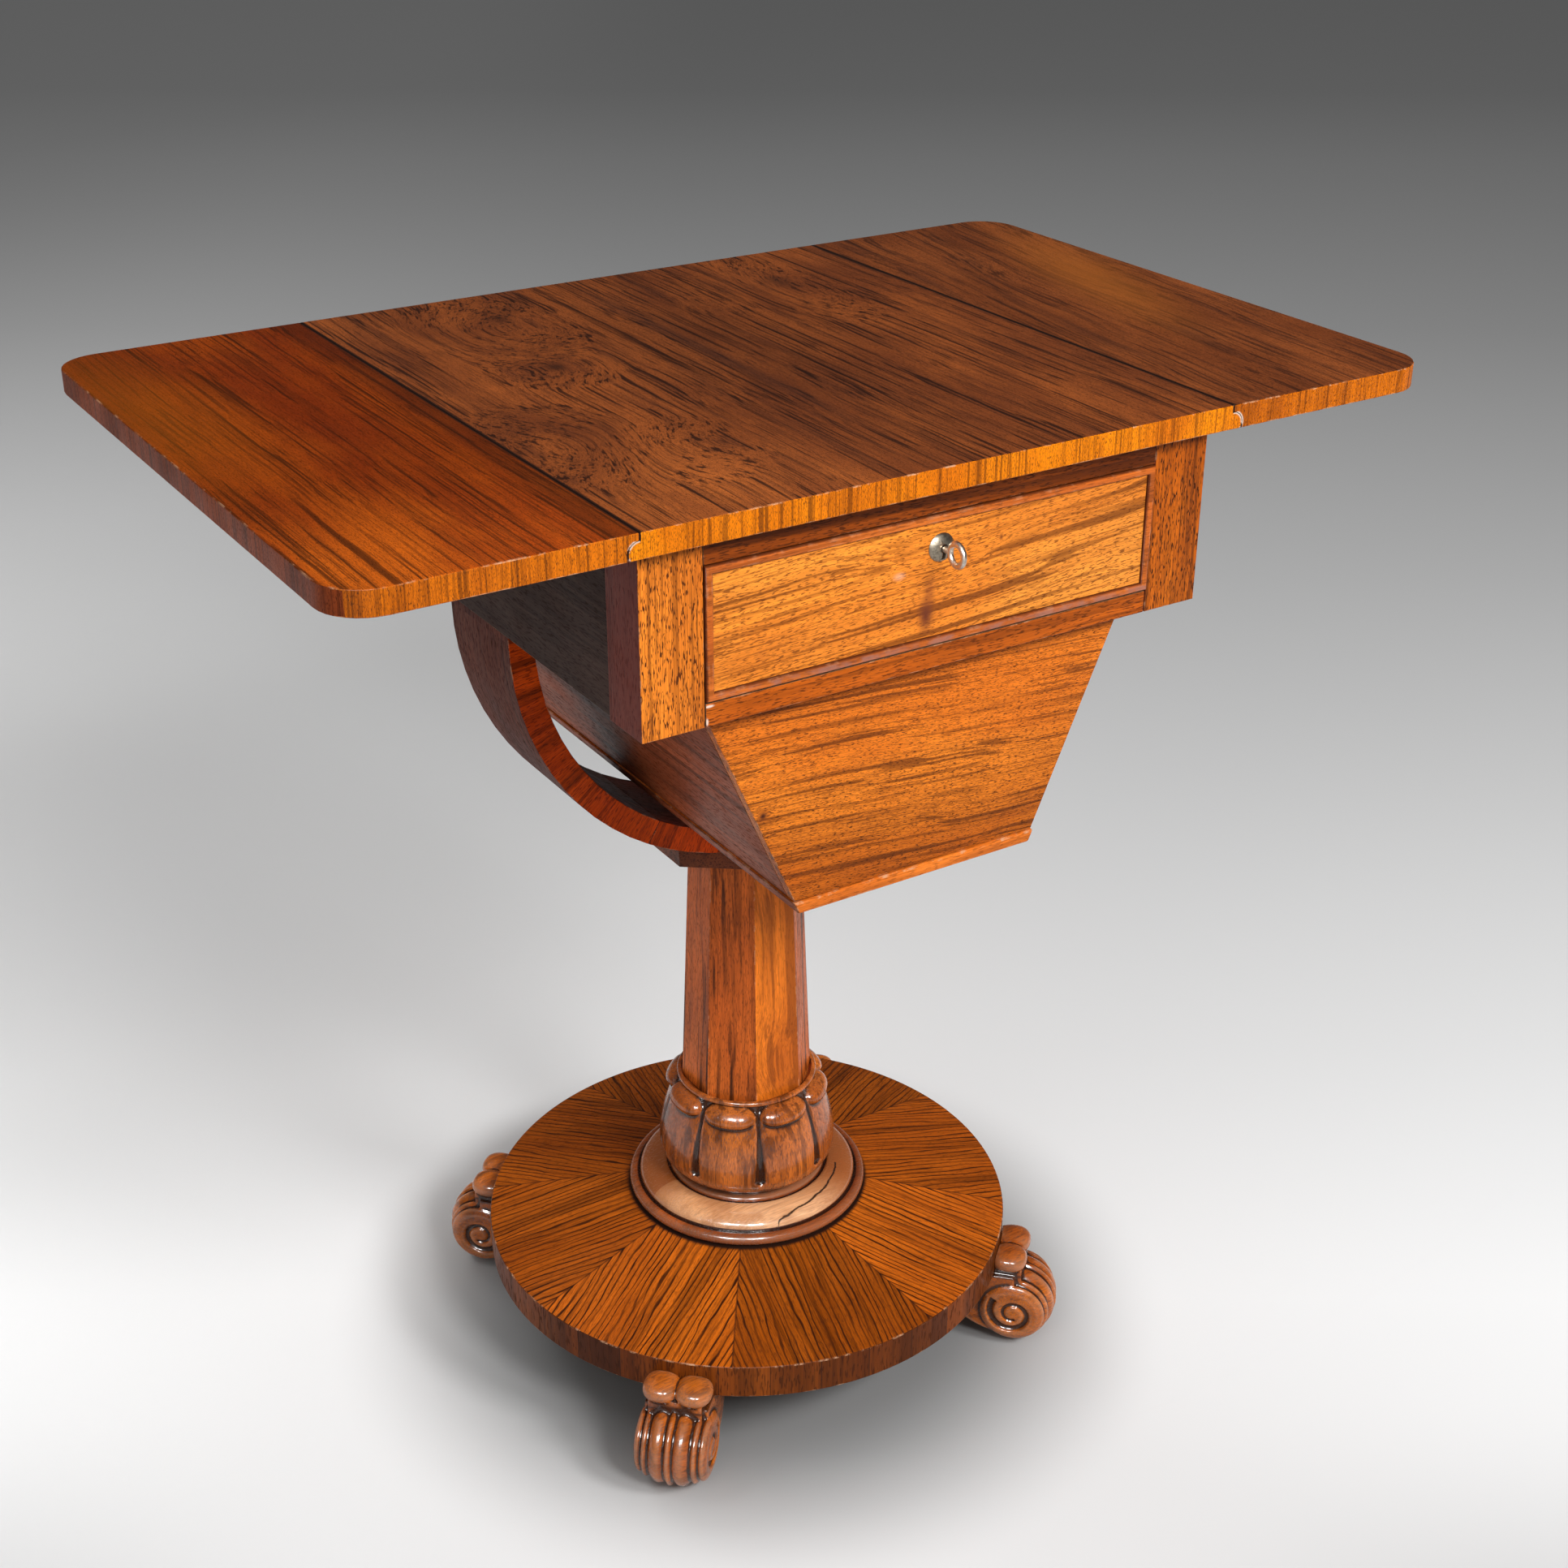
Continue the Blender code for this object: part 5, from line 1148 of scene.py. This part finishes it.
def carved_by(turn, z, radius):
    """How far a lobe stands out of the collar here, and how deep a dart is cut, from 0 to 1."""
    petal = math.tau / COLUMN_SIDES
    off = (turn + petal / 2) % petal - petal / 2
    lobe_z = COLLAR_TOP - LOBE_DROP
    across = abs(off) / LOBE_HALF_ANGLE
    along = abs(z - lobe_z) / (LOBE_HEIGHT / 2)
    lobe = LOBE_RISE * max(0.0, 1 - across ** 3 - along ** 2) ** 0.55
    dart_low = SOCLE_TOP + DART_FOOT
    share = (z - dart_low) / (lobe_z + 0.001 - dart_low)
    away = (petal / 2 - abs(off)) * radius
    if share > 1:
        fork = FORK_SLOPE * (z - lobe_z)
        groove = FORK_DEPTH * max(0.0, 1 - ((away - fork) / FORK_HALF_WIDTH) ** 2)
        return lobe, max(groove, FORK_FLOOR if away < fork else 0.0)
    if share < 0:
        return lobe, 0.0
    width = DART_WIDTH / 2 * (1 - 0.82 * share ** 0.6) * min(1.0, (share / 0.06) ** 0.5)
    return lobe, (1 - 0.35 * share) * max(0.0, 1 - (away / max(width, 0.0006)) ** 4)


def make_collar():
    foot_z = SOCLE_TOP + SEAM
    low_z = foot_z + COLLAR_QUIRK
    neck_z = COLLAR_TOP - COLLAR_RING_HEIGHT
    seat_z = COLLAR_TOP - COLLAR_SEAT
    ring = COLLAR_RING_HEIGHT / 2
    rows = 84
    profile = [(TENON_RADIUS + SEAM, seat_z), (COLUMN_FOOT_RADIUS + SEAM, seat_z),
               (COLUMN_FOOT_RADIUS + SEAM, COLLAR_TOP - 0.0002)]
    profile += [(COLLAR_RING_RADIUS - ring * 0.8 + ring * 0.8 * math.sin(math.pi * step / 8),
                 COLLAR_TOP - ring + ring * math.cos(math.pi * step / 8)) for step in range(9)]
    profile += [(collar_radius(row / rows), low_z + (neck_z - low_z) * row / rows - WELD)
                for row in range(rows, -1, -1)]
    profile += [(COLLAR_FOOT_RADIUS - COLLAR_TUCK, low_z), (COLLAR_FOOT_RADIUS - COLLAR_TUCK, foot_z),
                (TENON_RADIUS + SEAM, foot_z), profile[0]]
    shape = lathe(profile, 384)
    shape.verts.index_update()
    # the darts and the gap under the collar are painted dark: dirt with painted shade
    dart_dirt_and_shade = np.zeros(len(shape.verts))
    for point in shape.verts:
        radius = from_axis(point.co)
        if point.co.z < low_z + WELD:
            dart_dirt_and_shade[point.index] = 1.0
        if radius < COLLAR_NECK_RADIUS - 0.0006 or not low_z < point.co.z < neck_z:
            continue
        turn = math.atan2(point.co.y, point.co.x)
        lobe, dart = carved_by(turn, point.co.z, radius)
        radius += lobe - DART_DEPTH * dart
        point.co.x = radius * math.cos(turn)
        point.co.y = radius * math.sin(turn)
        dart_dirt_and_shade[point.index] = dart
    carved = [point for point in shape.verts
              if from_axis(point.co) > COLLAR_NECK_RADIUS
              and low_z + 0.002 < point.co.z < neck_z - 0.0004]
    for _ in range(2):
        bmesh.ops.smooth_vert(shape, verts=carved, factor=0.5, use_axis_x=True, use_axis_y=True,
                              use_axis_z=True)
    mesh = as_mesh("collar", shape)
    mark_hollows(mesh, 18, 0.0006, dart_dirt_and_shade)
    show_mesh("collar_carving", mesh, (carved_wood,), "carved_collar", sharp=60.0, weighted=False)


def socle_face(face):
    dished = SOCLE_TOP_RADIUS - SOCLE_QUIRK < from_axis(face.calc_center_median()) < SOCLE_DISH_RADIUS
    return 1 if dished and face.normal.z > -0.2 else 0


def make_socle():
    foot_z = PLINTH_TOP + SEAM
    quirk_z = SOCLE_TOP - 2 * SOCLE_QUIRK
    dish_z = SOCLE_TOP - SOCLE_QUIRK - SOCLE_DISH_RISE
    profile = [(TENON_RADIUS + SEAM, foot_z), (TENON_RADIUS + SEAM, SOCLE_TOP),
               (COLLAR_FOOT_RADIUS - 0.002, SOCLE_TOP),
               (COLLAR_FOOT_RADIUS + 0.0010, SOCLE_TOP - 0.0002),
               (COLLAR_FOOT_RADIUS + 0.0018, SOCLE_TOP - 0.0012),
               (SOCLE_TOP_RADIUS - SOCLE_QUIRK - 0.0012, quirk_z),
               (SOCLE_TOP_RADIUS - SOCLE_QUIRK, quirk_z),
               (SOCLE_TOP_RADIUS - 0.0010, dish_z + SOCLE_DISH_RISE - 0.0004)]
    steps = 18
    for turn in (math.pi / 2 * step / steps for step in range(steps + 1)):
        profile.append((SOCLE_TOP_RADIUS + (SOCLE_DISH_RADIUS - SOCLE_TOP_RADIUS) * math.sin(turn),
                        dish_z + SOCLE_DISH_RISE * math.cos(turn)))
    ring = (SOCLE_RADIUS - SOCLE_RING, foot_z + SOCLE_RING)
    profile += arc(ring, SOCLE_RING, math.pi * 0.72, -math.pi / 2, steps)
    profile.append(profile[0])
    shape = lathe(profile, 160)
    for face in shape.faces:
        face.material_index = socle_face(face)
    mesh = as_mesh("socle", shape)
    mark_hollows(mesh, 6, 0.0005)
    show_mesh("socle_turning", mesh, (ring_wood, dish_wood), "socle", sharp=50.0, weighted=False)


def plinth_face(face):
    if face.normal.z > 0.6:
        return 0
    return 2 if face.normal.z < -0.6 else 1


def make_plinth():
    edge = PLINTH_RADIUS - PLINTH_ARRIS
    hole = TENON_RADIUS + SEAM
    profile = [(0.0, PLINTH_MORTISE_Z), (hole, PLINTH_MORTISE_Z), (hole, PLINTH_TOP),
               (SOCLE_RADIUS, PLINTH_TOP)]
    profile += arc((edge, PLINTH_RIM_TOP - PLINTH_ARRIS), PLINTH_ARRIS, math.pi / 2, 0.0, 4)
    profile += arc((edge, PLINTH_FLOOR + PLINTH_ARRIS), PLINTH_ARRIS, 0.0, -math.pi / 2, 4)
    profile.append((0.0, PLINTH_FLOOR))
    shape = lathe(profile, 192)
    mark = shape.faces.layers.float.new("arris")
    for face in shape.faces:
        if from_axis(face.calc_center_median()) > edge and 0.15 < abs(face.normal.z) < 0.98:
            face[mark] = 1.0
    show("plinth_wood", shape, (plinth_veneer, plinth_rim, underside), "plinth", plinth_face,
         sharp=50.0)


# feet

def reeds():
    """The reeds across a scroll: (middle, half width), from one end to the other."""
    narrow_at = REED_CENTRE / 2 + REED_WIDE + REED_NARROW / 2
    band = (SCROLL_WIDTH / 2 - narrow_at - REED_NARROW / 2) / 2
    half = [(SCROLL_WIDTH / 2 - band, band), (narrow_at, REED_NARROW / 2),
            (REED_CENTRE / 2 + REED_WIDE / 2, REED_WIDE / 2)]
    return half + [(0.0, REED_CENTRE / 2)] + [(-middle, width) for middle, width in reversed(half)]


def volute(place, side):
    """The spiral groove on an end of a scroll, as a tube that lies half in the end."""
    curve = bpy.data.curves.new("volute", "CURVE")
    curve.dimensions = "3D"
    curve.bevel_depth = VOLUTE_GROOVE
    curve.bevel_resolution = 3
    curve.use_fill_caps = True
    steps = 72
    line = curve.splines.new("POLY")
    line.points.add(steps)
    for step, point in enumerate(line.points):
        share = step / steps
        radius = VOLUTE_RADIUS * (VOLUTE_EYE / VOLUTE_RADIUS) ** share
        turn = VOLUTE_START + math.tau * VOLUTE_TURNS * share
        point.co = (place[0] + radius * math.cos(turn), side * SCROLL_WIDTH / 2,
                    place[2] + radius * math.sin(turn), 1)
        point.radius = 1.25 - 0.65 * share
    shape = as_shape(evaluated_mesh(in_scene("volute", curve)))
    bmesh.ops.remove_doubles(shape, verts=shape.verts, dist=WELD)
    bmesh.ops.recalc_face_normals(shape, faces=shape.faces)
    return in_scene("volute", as_mesh("volute", shape))


def make_scroll(place):
    """The reeded scroll of a foot, lying across it, with a volute cut in each end."""
    end = SCROLL_WIDTH / 2
    profile = [(0.0, end), (SCROLL_RADIUS * 0.5, end)]
    steps = 10
    for middle, half in reeds():
        for step in range(steps + 1):
            across = middle + half * (1 - 2 * step / steps)
            slim = SCROLL_DROP * (across / end) ** 2
            swell = math.sin(math.pi * step / steps) ** 0.85 if 0 < step < steps else 0.0
            profile.append((SCROLL_RADIUS - slim - REED_DEPTH * (1 - swell), across))
    profile += [(SCROLL_RADIUS * 0.5, -end), (0.0, -end)]
    shape = lathe(profile, 96)
    lay = Matrix.Translation(place) @ Matrix.Rotation(-math.pi / 2, 4, "X")
    bmesh.ops.transform(shape, matrix=lay, verts=shape.verts)
    scroll = in_scene("scroll", as_mesh("scroll", shape))
    return as_shape(cut_by(scroll, [volute(place, side) for side in (-1, 1)]))


def bun(middle):
    shape = bmesh.new()
    bmesh.ops.create_uvsphere(shape, u_segments=40, v_segments=28, radius=1.0)
    for point in shape.verts:
        point.co *= sum(abs(value) ** BUN_SQUARE for value in point.co) ** (-1 / BUN_SQUARE)
    bmesh.ops.scale(shape, verts=shape.verts, vec=BUN_SIZE)
    bmesh.ops.translate(shape, verts=shape.verts, vec=middle)
    return shape


def tail_board(middle_x):
    """The bracket behind a scroll, hollowed below, as an outline drawn out along Y."""
    tail_x = middle_x - TAIL_LENGTH
    tip_z = PLINTH_FLOOR - TAIL_TIP
    outline = [(middle_x, PLINTH_FLOOR), (tail_x, PLINTH_FLOOR), (tail_x, tip_z)]
    steps = 16
    for turn in (math.pi / 2 * step / steps for step in range(1, steps + 1)):
        outline.append((tail_x + TAIL_LENGTH * (1 - math.cos(turn)),
                        tip_z - (tip_z - SCROLL_DROP) * math.sin(turn)))
    shape = bmesh.new()
    face = shape.faces.new([shape.verts.new((x, -TAIL_WIDTH / 2, z)) for x, z in outline])
    drawn = bmesh.ops.extrude_face_region(shape, geom=[face])
    far = [item for item in drawn["geom"] if isinstance(item, bmesh.types.BMVert)]
    bmesh.ops.translate(shape, verts=far, vec=(0, TAIL_WIDTH, 0))
    bmesh.ops.recalc_face_normals(shape, faces=shape.faces)
    return shape


def make_feet():
    middle_x = PLINTH_RADIUS + SCROLL_OUT
    middle_z = SCROLL_RADIUS - SCROLL_PAD
    bun_z = (PLINTH_FLOOR + PLINTH_RIM_TOP) / 2 - BUN_DROP
    forms = [make_scroll((middle_x, 0.0, middle_z)), tail_board(middle_x)]
    forms += [bun((PLINTH_RADIUS + BUN_OUT, side * (BUN_SIZE[1] - BUN_OVERLAP), bun_z))
              for side in (-1, 1)]
    forms.append(box_between((PLINTH_RADIUS - REED_WIDE, -NECK_WIDTH / 2, middle_z),
                             (PLINTH_RADIUS + NECK_OUT, NECK_WIDTH / 2, bun_z - BUN_SIZE[2] / 2)))
    item = in_scene("foot", as_mesh("foot", gathered(forms)))
    skin = item.modifiers.new("one skin", "REMESH")
    skin.mode = "VOXEL"
    skin.voxel_size = CARVING_GRAIN
    rub = item.modifiers.new("rubbed smooth", "SMOOTH")
    rub.factor = 0.5
    rub.iterations = 3
    low, high, out = PLINTH_FLOOR - SEAM, PLINTH_RIM_TOP + 0.02, PLINTH_RADIUS + SEAM
    rim = lathe([(0.0, low), (out, low), (out, high), (0.0, high)], 192)
    ground = box_between((0.1, -0.1, -0.1), (0.4, 0.1, 0.0))
    mesh = cut_by(item, [in_scene("rim", as_mesh("rim", rim)),
                         in_scene("ground", as_mesh("ground", ground))])
    bun_low = bun_z - BUN_SIZE[2]
    # painted shade with dirt in the neck under the buns
    neck = []
    for point in mesh.vertices:
        inside = min(point.co.z - (bun_low - NECK_DIRT_AND_SHADE_BELOW),
                     bun_low + NECK_DIRT_AND_SHADE_ABOVE - point.co.z, middle_x + NECK_DIRT_AND_SHADE_OUT - point.co.x)
        neck.append(1.5 * min(max(inside / NECK_DIRT_AND_SHADE_FADE, 0.0), 1.0) - 1.0)
    mark_hollows(mesh, 24, 0.0005, neck)
    for number, name in enumerate(("back_right", "back_left", "front_left", "front_right")):
        foot = mesh.copy()
        foot.transform(Matrix.Rotation(math.tau * (number + 0.5) / 4, 4, "Z"))
        show_mesh(f"{name}_foot_carving", foot, (foot_wood,), f"{name}_foot", sharp=70.0,
                  weighted=False)
    bpy.data.meshes.remove(mesh)


make_collar()
make_socle()
make_plinth()
make_feet()


# studio

FLOOR_FALLOFF_TONES = (             # painted light falloff, away from the camera
    (0.0, 0.64), (0.10, 0.74), (0.165, 0.86), (0.22, 0.77), (0.30, 0.69), (0.41, 0.59),
    (0.61, 0.47), (0.85, 0.42), (1.0, 0.36))


def make_floor():
    shape = bmesh.new()
    bmesh.ops.create_grid(shape, x_segments=2, y_segments=2, size=12.0)
    item = in_scene("studio_floor", as_mesh("studio_floor", shape))
    material, tree, place = new_material("studio floor")
    across, away, _ = split(turned(place, (0.0, 0.0, -CAMERA_YAW)))
    # the floor's tones paint the light's falloff away from the camera
    tone = greys(spread(away, -1.0, 5.0, way="LINEAR"), FLOOR_FALLOFF_TONES)
    # painted light brightens the floor on the left, where the table's shadow falls
    tone = tone * spread(across, -0.1, -1.2, 1.0, 1.15)
    # painted contact shadow round the table's base
    tone = tone * spread(distance(place), 0.15, 0.32, 0.30, 1.0)
    # painted shade in the near corners
    corner = spread(abs(across), 0.22, 0.55) * spread(away, -0.12, -0.50)
    tone = tone * corner.math("MULTIPLY_ADD", -0.34, 1.0)
    set_surface(tree, {"Base Color": tone, "Roughness": 0.9, "Specular IOR Level": 0.1})
    item.data.materials.append(material)


def add_lamp(name, place, target, size, power, diffuse=True, beam=math.pi):
    """A soft box that lights the table, or only glints in its polish."""
    lamp = bpy.data.lights.new(name, "AREA")
    lamp.shape = "RECTANGLE"
    lamp.size, lamp.size_y = size
    lamp.energy = power
    lamp.spread = beam
    item = in_scene(name, lamp)
    item.visible_diffuse = diffuse
    item.visible_glossy = not diffuse
    look = (Vector(target) - Vector(place)).to_track_quat("-Z", "Y")
    item.matrix_world = Matrix.Translation(place) @ look.to_matrix().to_4x4()


def set_studio():
    world = bpy.data.worlds.new("studio")
    world.use_nodes = True
    tree = world.node_tree
    background = tree.nodes["Background"]
    background.inputs["Color"].default_value = (1.0, 1.0, 1.0, 1.0)
    glossy = make(tree, "ShaderNodeLightPath", output="Is Glossy Ray")
    strength = glossy.math("MULTIPLY_ADD", -0.18, 0.24)
    tree.links.new(strength.socket, background.inputs["Strength"])
    bpy.context.scene.world = world
    add_lamp("left key", (0.10, -2.5, 2.25), (0.0, 0.0, 0.45), (0.7, 0.7), 50.0)
    add_lamp("right key", (1.15, -2.2, 2.25), (0.0, 0.0, 0.45), (0.7, 0.7), 50.0)
    add_lamp("fill", (-2.2, -1.2, 2.0), (0.0, 0.0, 0.4), (1.5, 1.5), 10.0)
    add_lamp("back", (-0.6, 2.4, 2.4), (0.0, 0.0, 0.6), (1.6, 1.2), 22.0)
    add_lamp("floor wash", (-1.9, 0.9, 2.6), (-1.6, 0.9, 0.0), (1.2, 1.2), 9.0, beam=math.radians(75))
    add_lamp("left glint", (-1.89, -1.64, 2.0), (0.0, 0.0, 0.3), (0.62, 0.62), 105.0, diffuse=False)
    add_lamp("right glint", (-0.94, -2.32, 2.0), (0.0, 0.0, 0.3), (0.62, 0.62), 105.0, diffuse=False)
    camera = bpy.data.cameras.new("camera")
    camera.sensor_fit = "HORIZONTAL"
    camera.sensor_width = CAMERA_FILM
    camera.lens = CAMERA_LENS
    item = in_scene("camera", camera)
    turn = Matrix.Rotation(CAMERA_YAW, 4, "Z") @ Matrix.Rotation(math.pi / 2 + CAMERA_PITCH, 4, "X")
    item.matrix_world = Matrix.Translation(CAMERA_PLACE) @ turn @ Matrix.Rotation(CAMERA_ROLL, 4, "Z")
    bpy.context.scene.camera = item
    bpy.context.scene.view_settings.view_transform = "Standard"


make_floor()
set_studio()
